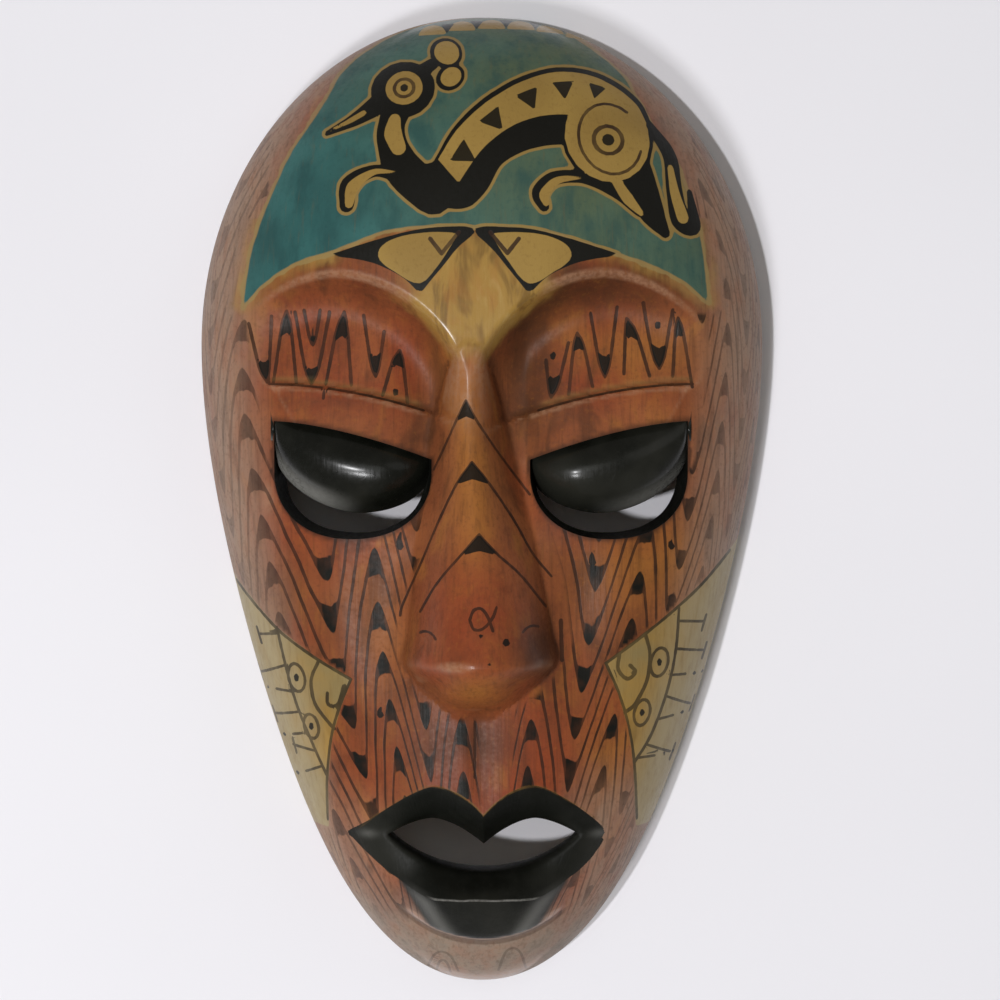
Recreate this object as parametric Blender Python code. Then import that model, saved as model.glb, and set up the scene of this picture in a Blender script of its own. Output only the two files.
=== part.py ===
"""A long oval face mask, carved from one block of wood and hollow behind, lying on its flat back rim.

The crown points along +Y and the face looks up along +Z. The origin is on the plane of the back rim,
in the middle of the mask.
"""

import bmesh
import bpy
import numpy as np

# Driving dimensions, in metres
LENGTH = 0.300  # crown to chin
WIDTH = 0.175  # across the temples
DEPTH = 0.090  # back rim to the tip of the nose
WALL = 0.014  # wood left behind the forehead and the cheeks
RIM = 0.012  # width of the flat back rim
EYE_SLIT = 0.0078  # gap under each eyelid, at its widest
EYELID = 0.010  # thickness of the bulging eyelid
LIP_BEVEL = 0.012  # how far the mouth opening lies behind the edge of the lips

# The face is drawn on a pattern in millimetres, which the driving dimensions stretch
PATTERN = np.array((175.0, 300.0, 90.0))
SCALE = np.array((WIDTH, LENGTH, DEPTH)) / PATTERN

# Outline and dome of the pattern
HALF_WIDTH = PATTERN[0] / 2
CROWN_AT = PATTERN[1] / 2
CHIN_AT = -CROWN_AT
WIDEST_AT = 48.0
DOME = 66.0
SECTION_POWER = 2.3
JAW = (2.52, -2.78, 1.26)  # how the outline narrows to the chin, as parts of a curve from its square up
CROWN_ROUND = (2.3, 2.1)
CHIN_ROUND = (4.0, 2.2)

# Brows and eyes: distances from the middle of the face and heights above the centre of the pattern
BROW_CENTRES = (-43.5, 36.5)
BROW_REACH = 39.5
BROW_FOOT = 30.0
BROW_RISE = 36.0
BROW_POWER = 1.8
BROW_FLAT = 0.62
BROW_EDGE = 0.06
BROW_FADE = (-30.0, 12.0)
TEMPLE = 61.0
TEMPLE_LEAN = 0.17
TEMPLE_AT = 12.0
TEMPLE_BLEND = (-2.5, 4.0)
PANEL_HEIGHT = 47.5
PANEL_TOP_AT = 62.0
PANEL_LENGTH = 42.0
PANEL_FORWARD = 8.0
PANEL_TURN_AT = 30.0
PANEL_SIDES = (15.0, 33.0)
PANEL_FALL = 4.0
PANEL_DEEPEST = 5.0
EYE_CENTRE = 38.0
EYE_REACH = 23.5
EYE_OUTER_CORNER = 63.0
EYE_INNER_CORNER = 14.4
EYE_TOP_AT = 23.0
EYE_TOP_DROP = 11.6
SOCKET_TOP_AT = 8.0
SOCKET_DROP = 20.0
LID_FOLD_AT = 34.0
LID_FOLD_DROP = 7.0
LID_FOLD_LENGTH = 43.0
LID_FOLD_STEP = 1.6
LID_TOP_AT = 11.0
LID_TILT = 0.1
LID_DROP = 23.0
LID_SET_BACK = 2.6
LID_BULGE = 6.0
LID_SAG = 3.0
LID_ROLL = 2.6
LID_ROLL_WIDTH = 4.5
LID_OVERLAP = 3.0

# Nose
NOSE_TOP_AT = 46.0
NOSE_RISES_AT = 28.0
NOSE_TIP_AT = -48.0
NOSE_BASE_AT = -64.0
NOSE_BASE_SHARE = 0.24
NOSE_BASE_SHIFT = -2.0
NOSE_WING = 23.5
NOSE_SHARP = 1.25
NOSE_BLUNT = 2.2
NOSE_BLUNTED = (10.0, -40.0)
NOSE_SUNK = 2.0
NOSE_SINKS = (35.0, 10.0)
NOSE_FILLET = 0.8
WING_FILLET = 1.5
WING_FILLETED = (-38.0, -52.0)
BASE_SUNK = 3.0
WING_AT = (19.0, -47.0)
WING_REACH = (5.0, 4.5)
WING_SWELL = 3.0
NOSTRIL_AT = (12.5, -54.5)
NOSTRIL_REACH = (3.6, 3.4)
NOSTRIL_DIP = 2.6
BRIDGE_SHIFT = -3.6
BRIDGE_AT = 30.0
BRIDGE_LENGTH = 45.0

# Cheeks and mouth
CHEEK_AT = (27.0, -32.0)
CHEEK_REACH = (11.0, 26.0)
CHEEK_DIP = 5.0
MUZZLE_AT = -106.0
MUZZLE_REACH = (38.0, 26.0)
MUZZLE_SWELL = 8.0
PHILTRUM_WIDTH = 3.6
PHILTRUM_TOP = (-58.0, -66.0)
PHILTRUM_FOOT = (-94.0, -84.0)
MOUTH_CENTRE = 0.8
MOUTH_REACH = 38.8
MOUTH_CORNER_AT = -99.6
LIP_PEAK = 15.3
LIP_PEAK_SHARE = 0.39
LIP_NOTCH = 8.5
LIP_DROP = 18.4
LIP_FLAT_SHARE = 0.36
LIP_STEPS = 4
LIP_PAST = 1.4
LIP_SWELL = 4.0
OPENING_REACH = 28.5
OPENING_PEAK = 4.9
OPENING_PEAK_SHARE = 0.54
OPENING_NOTCH = 7.6
OPENING_DROP = 11.0
OPENING_LEVEL_AT = -92.0
LOWER_LIP_FOOT = -131.0
LOWER_LIP_CURVE = 0.015
LOWER_LIP_SIDES = (27.0, 13.0)
LOWER_LIP_TOP = (-98.0, -112.0)
LOWER_LIP_EDGE = (-1.6, 0.6)
LOWER_LIP_SWELL = 7.0

# Hollow back, behind the eyes and the nose
EYE_WALL_AT = (26.0, 40.0)
EYE_WALL_REACH = (33.0, 35.0)
EYE_WALL_DROP = 18.0
NOSE_ROOM_AT = -30.0
NOSE_ROOM_REACH = (13.0, 26.0)
NOSE_ROOM_RISE = 13.0

# Fineness of the carved surface before and after it is thinned out
FACE_ROWS = 220
FACE_COLUMNS = 180
FACE_TRIANGLES = 4800
HOLLOW_ROWS = 30
HOLLOW_COLUMNS = 24
CUT_BELOW = 5.0


def smooth(start, end, value):
    """0 before start, 1 past end, and an S-curve between them."""
    share = np.clip((value - start) / (end - start), 0.0, 1.0)
    return share * share * (3.0 - 2.0 * share)


def rounded(share, power, root):
    """A curve that falls from 1 to 0 as share goes from 0 to 1."""
    return np.clip(1.0 - np.abs(share) ** power, 0.0, 1.0) ** (1.0 / root)


def bump(across, along, reach, power=2.0):
    """A soft round bump of height 1, as an offset from its middle in two directions."""
    return np.exp(-(np.abs(across / reach[0]) ** power) - (along / reach[1]) ** 2)


def soft_max(first, second, fillet):
    """The larger of two heights, with a fillet where they cross."""
    return first + fillet * np.logaddexp(0.0, (second - first) / fillet)


def half_width(y):
    """Half the mask's width at a height of the pattern."""
    up = np.clip((y - WIDEST_AT) / (CROWN_AT - WIDEST_AT), 0.0, 1.0)
    down = np.clip((WIDEST_AT - y) / (WIDEST_AT - CHIN_AT), 0.0, 1.0)
    jaw = sum(part * down**power for power, part in enumerate(JAW, 2))
    return HALF_WIDTH * np.sqrt(np.clip(1.0 - up**2 - jaw, 0.0, 1.0))


def dome_height(y):
    """Height of the plain dome along the middle of the face."""
    up = np.clip((y - WIDEST_AT) / (CROWN_AT - WIDEST_AT), 0.0, 1.0)
    down = np.clip((WIDEST_AT - y) / (WIDEST_AT - CHIN_AT), 0.0, 1.0)
    return DOME * rounded(up, *CROWN_ROUND) * rounded(down, *CHIN_ROUND)


def section(x, y):
    """Share of the dome's height that is left at a distance from the middle."""
    reach = np.maximum(half_width(y), 1e-6)
    return rounded(np.minimum(np.abs(x) / reach, 1.0), SECTION_POWER, SECTION_POWER)


def midline(y):
    """Where the carver's middle line runs: it leans a little at the bridge of the nose."""
    return BRIDGE_SHIFT * np.exp(-(((y - BRIDGE_AT) / BRIDGE_LENGTH) ** 2))


def lid_fold(side):
    """Height of the crease over the eyelid at a distance from the middle."""
    inwards = np.clip((EYE_OUTER_CORNER - side) / LID_FOLD_LENGTH, 0.0, 2.0)
    return LID_FOLD_AT - LID_FOLD_DROP * inwards**1.8


def lid_edge(side):
    """Height of the upper edge of the eye opening."""
    span = EYE_OUTER_CORNER - EYE_INNER_CORNER
    return EYE_TOP_AT - EYE_TOP_DROP * np.clip((EYE_OUTER_CORNER - side) / span, 0.0, 1.2) ** 1.6


def socket_foot(side):
    """Height of the lower edge of the eye opening."""
    return SOCKET_TOP_AT - SOCKET_DROP * rounded((side - EYE_CENTRE) / EYE_REACH, 2.2, 2.2)


def eyelid_foot(side):
    """Height of the lower edge of the eyelid, a slit above the opening's edge."""
    slit = EYE_SLIT / SCALE[1]
    tilt = LID_TOP_AT + LID_TILT * (side - EYE_CENTRE)
    return tilt - (LID_DROP - slit) * rounded((side - EYE_CENTRE) / EYE_REACH, 1.8, 1.8)


def eye_panel(side, y):
    """Surface between brow and eye: it comes forward towards the eyelid."""
    forward = PANEL_FORWARD * np.clip((PANEL_TOP_AT - y) / PANEL_LENGTH, 0.0, 1.2)
    inwards, outwards = (np.clip(sign * (side - PANEL_TURN_AT), 0.0, None) for sign in (-1.0, 1.0))
    outer_fall = PANEL_FALL * (outwards / PANEL_SIDES[1]) ** 2
    inner_fall = np.minimum(PANEL_FALL * (inwards / PANEL_SIDES[0]) ** 2, PANEL_DEEPEST)
    fold = LID_FOLD_STEP * smooth(0.8, -0.8, y - lid_fold(side))
    return PANEL_HEIGHT + forward - outer_fall - inner_fall + fold


def brow_hollow(x, y):
    """1 inside the hollows under the brows, 0 outside, with a crisp crest along each brow."""
    side = np.abs(x)
    hollow = np.zeros_like(x)
    for centre in BROW_CENTRES:
        across = np.abs(x - centre) / BROW_REACH
        above = np.clip(y - BROW_FOOT, 0.0, None) / BROW_RISE
        reach = (across**BROW_POWER + above**BROW_POWER) ** (1.0 / BROW_POWER)
        fall = np.clip((reach - BROW_FLAT) / (1.0 - BROW_FLAT), 0.0, 1.6) ** 2
        arc = 1.0 + soft_max(-fall, -1.0, BROW_EDGE)
        temple = TEMPLE + TEMPLE_LEAN * (y - TEMPLE_AT)
        arc = arc * (1.0 - smooth(*TEMPLE_BLEND, side - temple))
        hollow = np.maximum(hollow, arc)
    return hollow * smooth(*BROW_FADE, y)


def nose(x, y, face):
    """The nose as a ridge over the face, with wings at its foot and a blunt underside."""
    rise = np.clip((NOSE_RISES_AT - y) / (NOSE_RISES_AT - NOSE_TIP_AT), 0.0, 1.0)
    ridge = DOME + (PATTERN[2] - DOME) * rise**1.15
    down = np.clip((NOSE_TOP_AT - y) / (NOSE_TOP_AT - NOSE_TIP_AT), 0.0, 1.0)
    under = np.clip((NOSE_TIP_AT - y) / (NOSE_TIP_AT - NOSE_BASE_AT), 0.0, 1.0)
    breadth = NOSE_WING * down**0.5 * (1.0 - (1.0 - NOSE_BASE_SHARE) * under**0.9)
    side = np.abs(x - midline(y) - NOSE_BASE_SHIFT * under)
    across = np.clip(side / np.maximum(breadth, 1e-3), 0.0, 1.0)
    profile = 1.0 - across ** (NOSE_SHARP + (NOSE_BLUNT - NOSE_SHARP) * smooth(*NOSE_BLUNTED, y))
    foot = face - NOSE_SUNK * smooth(*NOSE_SINKS, y)
    fall = under**1.5
    body = foot + (ridge * (1.0 - fall) + (face - BASE_SUNK) * fall - foot) * profile
    body = body + WING_SWELL * bump(side - WING_AT[0], y - WING_AT[1], WING_REACH)
    body = body - NOSTRIL_DIP * bump(side - NOSTRIL_AT[0], y - NOSTRIL_AT[1], NOSTRIL_REACH)
    body = np.where((y < NOSE_TOP_AT) & (y > NOSE_BASE_AT), body, 0.0)
    fillet = NOSE_FILLET + (WING_FILLET - NOSE_FILLET) * smooth(*WING_FILLETED, y)
    return soft_max(face, body - BASE_SUNK * smooth(0.9, 1.0, across), fillet)


def upper_lip(share):
    """Height of the upper lip's edge over the mouth's corners, as a cupid's bow."""
    outer = np.clip((share - LIP_PEAK_SHARE) / (1.0 - LIP_PEAK_SHARE), 0.0, 1.0)
    inner = np.clip((LIP_PEAK_SHARE - share) / LIP_PEAK_SHARE, 0.0, 1.0)
    return LIP_PEAK * (1.0 - outer**1.4) - LIP_NOTCH * inner**2


def lower_lip(share):
    """Depth of the lower lip's ridge under the mouth's corners."""
    outer = np.clip((share - LIP_FLAT_SHARE) / (1.0 - LIP_FLAT_SHARE), 0.0, 1.0)
    return LIP_DROP * (1.0 - outer**1.55)


def face_height(x, y):
    """Height of the carved face over the back rim."""
    side = np.abs(x)
    plain = dome_height(y) * section(x, y)
    cheek = plain - CHEEK_DIP * bump(side - CHEEK_AT[0], y - CHEEK_AT[1], CHEEK_REACH)
    muzzle = MUZZLE_SWELL * bump(x, y - MUZZLE_AT, MUZZLE_REACH)
    face = cheek + muzzle * smooth(0.0, 0.4, section(x, y))
    hollow = brow_hollow(x, y)
    face = face + (np.minimum(eye_panel(side, y), face) - face) * hollow
    face = nose(x, y, face)
    philtrum = np.exp(-((x / PHILTRUM_WIDTH) ** 2)) * smooth(*PHILTRUM_FOOT, y) * smooth(*PHILTRUM_TOP, y)
    across = np.abs(x - MOUTH_CENTRE)
    foot = LOWER_LIP_FOOT + LOWER_LIP_CURVE * across**2
    lip = smooth(*LOWER_LIP_SIDES, across) * smooth(*LOWER_LIP_EDGE, y - foot) * smooth(*LOWER_LIP_TOP, y)
    return face - philtrum + LOWER_LIP_SWELL * lip


def hollow_height(x, y, wall):
    """Height of the gouged-out back, which follows the face loosely."""
    side = np.abs(x)
    plain = dome_height(y) * section(x, y) * (1.0 - wall / DOME)
    eyes = EYE_WALL_DROP * bump(side - EYE_WALL_AT[0], y - EYE_WALL_AT[1], EYE_WALL_REACH, power=4.0)
    nose_room = NOSE_ROOM_RISE * bump(x, y - NOSE_ROOM_AT, NOSE_ROOM_REACH)
    return plain - (eyes - nose_room) * smooth(0.2, 0.7, section(x, y))


def crowded(count):
    """Shares from -1 to 1, evenly spaced but crowding together at both ends."""
    even = np.linspace(-1.0, 1.0, count)
    return (6.0 * even - even * np.abs(even) ** 5) / 5.0


def dome_grid(rows, columns):
    """Pattern coordinates of a grid over the whole oval, closer together at its edge."""
    y = CROWN_AT * crowded(rows)[:, None]
    x = half_width(y) * crowded(columns)[None, :]
    return x, y + 0.0 * x


def as_points(x, y, z):
    return np.stack(np.broadcast_arrays(x, y, z), axis=-1) * SCALE


def sunk(height):
    """The same heights with the outer edge of the grid lowered, to be cut off flat at the back rim."""
    lowered = height.copy()
    lowered[[0, -1]] = -CUT_BELOW
    lowered[:, [0, -1]] = -CUT_BELOW
    return lowered


def edge_of(grid):
    """The indices around a grid, in order."""
    return np.concatenate((grid[0, :-1], grid[:-1, -1], grid[-1, :0:-1], grid[:0:-1, 0]))


def slab(name, layers, thinned_to=None):
    """A closed solid from a front grid of points to a back grid, with walls along the grids' edges."""
    rows, columns = layers[0].shape[:2]
    index = np.arange(len(layers) * rows * columns).reshape(len(layers), rows, columns)
    faces = []
    for grid in (index[0], index[-1, :, ::-1]):
        corners = (grid[:-1, :-1], grid[:-1, 1:], grid[1:, 1:], grid[1:, :-1])
        faces += np.stack(corners, axis=-1).reshape(-1, 4).tolist()
    for over, under in zip(index[:-1], index[1:]):
        upper = edge_of(over)
        lower = edge_of(under)
        walls = (np.roll(upper, 1), np.roll(lower, 1), lower, upper)
        faces += np.stack(walls, axis=-1).tolist()
    mesh = bpy.data.meshes.new(name)
    mesh.from_pydata(np.concatenate([grid.reshape(-1, 3) for grid in layers]), [], faces)
    close_up(mesh)
    solid = bpy.data.objects.new(name, mesh)
    bpy.context.scene.collection.objects.link(solid)
    if thinned_to:
        thin = solid.modifiers.new("thin out", "DECIMATE")
        thin.ratio = thinned_to / len(mesh.polygons)
    return solid


def close_up(mesh):
    """Merges points that fall together, as at the crown and the chin, and turns the faces outwards."""
    shape = bmesh.new()
    shape.from_mesh(mesh)
    loose = [point for point in shape.verts if not point.link_faces]
    bmesh.ops.delete(shape, geom=loose, context="VERTS")
    bmesh.ops.remove_doubles(shape, verts=shape.verts, dist=1e-6)
    bmesh.ops.dissolve_degenerate(shape, dist=1e-7, edges=shape.edges)
    bmesh.ops.triangulate(shape, faces=shape.faces)
    bmesh.ops.recalc_face_normals(shape, faces=shape.faces)
    shape.to_mesh(mesh)
    shape.free()


def ladder(x, low, high, z, rows):
    """A grid of points between a lower and an upper edge line."""
    share = np.linspace(0.0, 1.0, rows)[:, None]
    return as_points(x[None, :], low + (high - low) * share, z)


def combine(solid, tool, operation):
    """Cuts a hidden tool from the solid, or joins it on."""
    step = solid.modifiers.new(f"{operation.lower()} {tool.name}", "BOOLEAN")
    step.operation = operation
    step.solver = "EXACT"
    step.object = tool
    tool.hide_render = True
    tool.display_type = "WIRE"


def block_below(name, top):
    """A block wider than the mask, whose top lies at a height of the pattern."""
    x = np.linspace(-1.2, 1.2, 2) * HALF_WIDTH
    y = 1.2 * CROWN_AT
    front = ladder(x, -y, y, top, 2)
    back = ladder(x, -y, y, top - 3.0 * CUT_BELOW, 2)
    return slab(name, (front, back))


def eye_opening(name, direction):
    """The whole eye socket, from its upper edge to its lower arc, right through the wall."""
    side = EYE_CENTRE - EYE_REACH * np.cos(np.linspace(0.0, np.pi, 29))
    low = socket_foot(side)
    high = np.maximum(lid_edge(side), low)
    front = ladder(direction * side, low, high, PATTERN[2], 2)
    back = ladder(direction * side, low, high, -CUT_BELOW, 2)
    return slab(name, (front, back))


def eyelid(name, direction):
    """The bulging eyelid: it hangs from the wood over the eye opening and ends above the slit."""
    side = EYE_CENTRE - (EYE_REACH + 1.0) * np.cos(np.linspace(0.0, np.pi, 19))
    edge = lid_edge(side)
    low = np.minimum(eyelid_foot(side), edge)
    share = np.linspace(0.0, 1.0, 11)[:, None]
    y = low + (edge + LID_OVERLAP - low) * share
    hang = np.clip((edge - y) / np.maximum(edge - low, 1.0), 0.0, 1.0)
    across = rounded((side - EYE_CENTRE) / (EYE_REACH + 2.0), 2.5, 1.0)
    flat = eye_panel(side, edge) - LID_SET_BACK - LID_SAG * hang**2
    to_edge = (y - low) / np.sqrt(1.0 + np.gradient(low, side) ** 2)
    roll = LID_ROLL * (1.0 - np.clip(to_edge / LID_ROLL_WIDTH, 0.0, 1.0)) ** 2
    z = flat + LID_BULGE * np.sin(np.pi * hang**0.9) * across - roll
    x = direction * side[None, :]
    front = as_points(x, y, z)
    back = as_points(x, y, flat - EYELID / SCALE[2])
    return slab(name, (front, back))


def mouth_opening():
    """The mouth: a rounded taper from the edge of the lips to the opening, then straight through."""
    share = np.linspace(-1.0, 1.0, 37)
    reach = np.abs(share)
    lips_x = MOUTH_CENTRE + MOUTH_REACH * share
    lips_high = MOUTH_CORNER_AT + upper_lip(reach)
    lips_low = MOUTH_CORNER_AT - lower_lip(reach)
    hole_x = MOUTH_CENTRE + OPENING_REACH * share
    outer = np.clip((reach - OPENING_PEAK_SHARE) / (1.0 - OPENING_PEAK_SHARE), 0.0, 1.0)
    inner = np.clip((OPENING_PEAK_SHARE - reach) / OPENING_PEAK_SHARE, 0.0, 1.0)
    hole_high = MOUTH_CORNER_AT + OPENING_PEAK * (1.0 - outer**1.6) - OPENING_NOTCH * inner**1.7
    hole_low = MOUTH_CORNER_AT - OPENING_DROP * rounded(reach, 2.0, 1.25)
    bevel = LIP_BEVEL / SCALE[2]
    level = float(face_height(np.array(0.0), np.array(OPENING_LEVEL_AT))) - bevel
    layers = []
    for step in np.linspace(LIP_PAST, 0.0, LIP_STEPS):
        edges = []
        for lips_y, hole_y in ((lips_low, hole_low), (lips_high, hole_high)):
            lips_z = level + step * (face_height(lips_x, lips_y) - level) + LIP_SWELL * step * (1.0 - step)
            edge_x = hole_x + step * (lips_x - hole_x)
            edges.append(as_points(edge_x, hole_y + step * (lips_y - hole_y), lips_z))
        layers.append(np.stack((edges[0], (edges[0] + edges[1]) / 2, edges[1])))
    layers[0][1, :, 2] += LIP_BEVEL * rounded(share, 2.0, 1.0)
    layers.append(ladder(hole_x, hole_low, hole_high, -CUT_BELOW, 3))
    return slab("mouth_opening", layers)


def painted_wood():
    """Stained wood under a thin varnish, in the mask's main orange-brown."""
    material = bpy.data.materials.new("stained wood")
    material.use_nodes = True
    surface = material.node_tree.nodes["Principled BSDF"]
    surface.inputs["Base Color"].default_value = (0.42, 0.13, 0.05, 1.0)
    surface.inputs["Roughness"].default_value = 0.45
    surface.inputs["Metallic"].default_value = 0.0
    return material


def mask():
    """The carved mask: dome and face, then the hollow back, the mouth and the eyes."""
    x, y = dome_grid(FACE_ROWS, FACE_COLUMNS)
    front = as_points(x, y, sunk(face_height(x, y)))
    back = as_points(x, y, -2.0 * CUT_BELOW)
    body = slab("mask", (front, back), thinned_to=FACE_TRIANGLES)
    inner = (PATTERN / 2 - RIM / SCALE) / (PATTERN / 2)
    x, y = dome_grid(HOLLOW_ROWS, HOLLOW_COLUMNS)
    gouged = sunk(hollow_height(x, y, WALL / SCALE[2]))
    front = as_points(x * inner[0], y * inner[1], gouged)
    back = as_points(x * inner[0], y * inner[1], -3.0 * CUT_BELOW)
    combine(body, slab("back_hollow", (front, back)), "DIFFERENCE")
    combine(body, mouth_opening(), "DIFFERENCE")
    for name, direction in (("left", -1.0), ("right", 1.0)):
        combine(body, eye_opening(f"{name}_eye_opening", direction), "DIFFERENCE")
        combine(body, eyelid(f"{name}_eyelid", direction), "UNION")
    combine(body, block_below("below_rim", 0.0), "DIFFERENCE")
    body.data.materials.append(painted_wood())
    return body


def clear_scene():
    for item in list(bpy.data.objects):
        bpy.data.objects.remove(item)


if __name__ == "__main__":
    clear_scene()
    mask()
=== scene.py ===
"""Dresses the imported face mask: carved wood with painted panels, wave lines and a thin varnish.

Sizes on the mask are in pattern millimetres unless they say metres: x to the right, y from the chin to
the crown with 0 in the middle, z out of the face from the plane of the back rim.
"""

import math

import bmesh
import bpy
import numpy as np
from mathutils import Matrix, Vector


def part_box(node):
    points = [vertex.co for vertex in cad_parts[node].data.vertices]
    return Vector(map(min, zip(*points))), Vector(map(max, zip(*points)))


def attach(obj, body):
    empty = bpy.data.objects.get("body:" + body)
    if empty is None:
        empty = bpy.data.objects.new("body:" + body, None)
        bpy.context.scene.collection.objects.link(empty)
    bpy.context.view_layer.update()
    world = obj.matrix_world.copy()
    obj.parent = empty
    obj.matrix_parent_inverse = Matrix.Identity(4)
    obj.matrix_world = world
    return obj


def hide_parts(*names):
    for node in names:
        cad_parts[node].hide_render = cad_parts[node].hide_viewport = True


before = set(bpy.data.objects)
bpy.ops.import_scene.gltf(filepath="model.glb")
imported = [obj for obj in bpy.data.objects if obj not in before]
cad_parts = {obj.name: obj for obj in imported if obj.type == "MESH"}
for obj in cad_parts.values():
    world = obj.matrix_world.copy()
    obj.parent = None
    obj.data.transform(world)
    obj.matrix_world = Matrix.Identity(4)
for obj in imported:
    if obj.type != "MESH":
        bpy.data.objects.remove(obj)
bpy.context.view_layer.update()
MASK_LOW, MASK_HIGH = (np.array(corner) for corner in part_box("mask"))

bl_info = {
    "name": "Painted Wall Mask",
    "version": (1, 0, 0),
    "blender": (4, 5, 0),
    "location": "3D View > Sidebar > Wall Mask",
    "description": "Carves and paints an oval wooden wall mask and sets it on a pale floor",
    "category": "Object",
}

# Outline and dome
PATTERN = np.array((175.0, 300.0, 90.0))
HALF_WIDTH = PATTERN[0] / 2
CROWN_AT = PATTERN[1] / 2
CHIN_AT = -CROWN_AT
WIDEST_AT = 48.0
DOME = 66.0
SECTION_POWER = 2.3
JAW = (2.52, -2.78, 1.26)  # how the outline narrows to the chin, as parts of a curve from its square up
CROWN_ROUND = (2.3, 2.1)
CHIN_ROUND = (4.0, 2.2)

# Brows and eyes: distances from the middle of the face and heights above the centre of the pattern
BROW_CENTRES = (-43.5, 36.5)
BROW_REACH = 39.5
BROW_FOOT = 30.0
BROW_RISE = 36.0
BROW_POWER = 1.8
BROW_FLAT = 0.62
BROW_EDGE = 0.06
BROW_FADE = (-30.0, 12.0)
TEMPLE = 61.0
TEMPLE_LEAN = 0.17
TEMPLE_AT = 12.0
TEMPLE_BLEND = (-2.5, 4.0)
PANEL_HEIGHT = 47.5
PANEL_TOP_AT = 62.0
PANEL_LENGTH = 42.0
PANEL_FORWARD = 8.0
PANEL_TURN_AT = 30.0
PANEL_SIDES = (15.0, 33.0)
PANEL_FALL = 4.0
PANEL_DEEPEST = 5.0
EYE_CENTRE = 38.0
EYE_REACH = 23.5
EYE_OUTER_CORNER = 63.0
EYE_INNER_CORNER = 14.4
EYE_TOP_AT = 23.0
EYE_TOP_DROP = 11.6
SOCKET_TOP_AT = 8.0
SOCKET_DROP = 20.0
SOCKET_LEAN = 0.15
LID_FOLD_AT = 34.0
LID_FOLD_DROP = 7.0
LID_FOLD_LENGTH = 43.0
LID_FOLD_STEP = 1.6
LID_TOP_AT = 11.0
LID_TILT = 0.1
LID_DROP = 23.0
LID_SET_BACK = 2.6
LID_BULGE = 6.0
LID_SAG = 3.0
LID_ROLL = 2.6
LID_ROLL_WIDTH = 4.5
LID_OVERLAP = 3.0

# Nose
NOSE_TOP_AT = 46.0
NOSE_RISES_AT = 28.0
NOSE_TIP_AT = -48.0
NOSE_BASE_AT = -64.0
NOSE_BASE_SHARE = 0.24
NOSE_BASE_CURVE = 1.35
NOSE_BASE_SHIFT = -2.0
NOSE_WING = 23.5
NOSE_SHARP = 1.25
NOSE_BLUNT = 2.2
NOSE_BLUNTED = (10.0, -40.0)
NOSE_SUNK = 2.0
NOSE_SINKS = (35.0, 10.0)
NOSE_FILLET = 0.8
WING_FILLET = 2.4
WING_FILLETED = (-38.0, -52.0)
BASE_SUNK = 3.0
WING_AT = (19.0, -47.0)
WING_REACH = (5.0, 4.5)
WING_SWELL = 3.0
NOSTRIL_AT = (12.5, -54.5)
NOSTRIL_REACH = (3.6, 3.4)
NOSTRIL_DIP = 2.6
BRIDGE_SHIFT = -3.6
BRIDGE_AT = 30.0
BRIDGE_LENGTH = 45.0

# Cheeks and mouth
CHEEK_AT = (27.0, -32.0)
CHEEK_REACH = (11.0, 26.0)
CHEEK_DIP = 5.0
MUZZLE_AT = -106.0
MUZZLE_REACH = (38.0, 26.0)
MUZZLE_SWELL = 8.0
PHILTRUM_WIDTH = 3.6
PHILTRUM_TOP = (-58.0, -66.0)
PHILTRUM_FOOT = (-94.0, -84.0)
MOUTH_CENTRE = 0.8
MOUTH_REACH = 38.8
MOUTH_CORNER_AT = -99.6
LIP_PEAK = 15.3
LIP_PEAK_SHARE = 0.39
LIP_NOTCH = 8.5
LIP_DROP = 18.4
LIP_FLAT_SHARE = 0.36
LIP_STEPS = 8
LIP_PAST = 1.4
LIP_SWELL = 4.0
LIPS_OVER = 20.0
OPENING_REACH = 28.5
OPENING_PEAK = 4.9
OPENING_PEAK_SHARE = 0.54
OPENING_NOTCH = 7.6
OPENING_DROP = 11.0
OPENING_LEVEL_AT = -92.0
LOWER_LIP_FOOT = -131.0
LOWER_LIP_CURVE = 0.015
LOWER_LIP_SIDES = (27.0, 13.0)
LOWER_LIP_TOP = (-98.0, -112.0)
LOWER_LIP_EDGE = (-1.6, 0.6)
LOWER_LIP_SWELL = 7.0
LIP_FRONT = 25.0
LIP_FRONT_TAPER = 0.64
LIP_FRONT_FROM = -113.8

# Hollow back, behind the eyes and the nose
EYE_WALL_AT = (26.0, 40.0)
EYE_WALL_REACH = (33.0, 35.0)
EYE_WALL_DROP = 18.0
NOSE_ROOM_AT = -30.0
NOSE_ROOM_REACH = (13.0, 26.0)
NOSE_ROOM_RISE = 13.0

# How far the grids reach below the plane of the back rim before they are cut off there
CUT_BELOW = 5.0

# Unevenness left by hand: its height and spread on the face, and how deep the gouge went behind
HAND_CUT = 0.22
HAND_CUT_SPREAD = 11.0
GOUGE_DEPTH = 0.5

# Fineness of the tools that cut the face, and the angle from which an edge stays sharp, in degrees
HOLLOW_GRID = (110, 86)
OPENING_STEPS = 97
LID_STEPS = (37, 73)
MOUTH_STEPS = 145
SHARP_FROM = 38.0

# What the faces of the finished carving were cut by
FACE, HOLLOW, MOUTH, SOCKET, LID, RIM = range(6)


# Curves and fields of the carving

def smooth(start, end, value):
    """0 before start, 1 past end, and an S-curve between them."""
    share = np.clip((value - start) / (end - start), 0.0, 1.0)
    return share * share * (3.0 - 2.0 * share)


def rounded(share, power, root):
    """A curve that falls from 1 to 0 as share goes from 0 to 1."""
    return np.clip(1.0 - np.abs(share) ** power, 0.0, 1.0) ** (1.0 / root)


def bump(across, along, reach, power=2.0):
    """A soft round bump of height 1, as an offset from its middle in two directions."""
    return np.exp(-(np.abs(across / reach[0]) ** power) - (along / reach[1]) ** 2)


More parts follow.
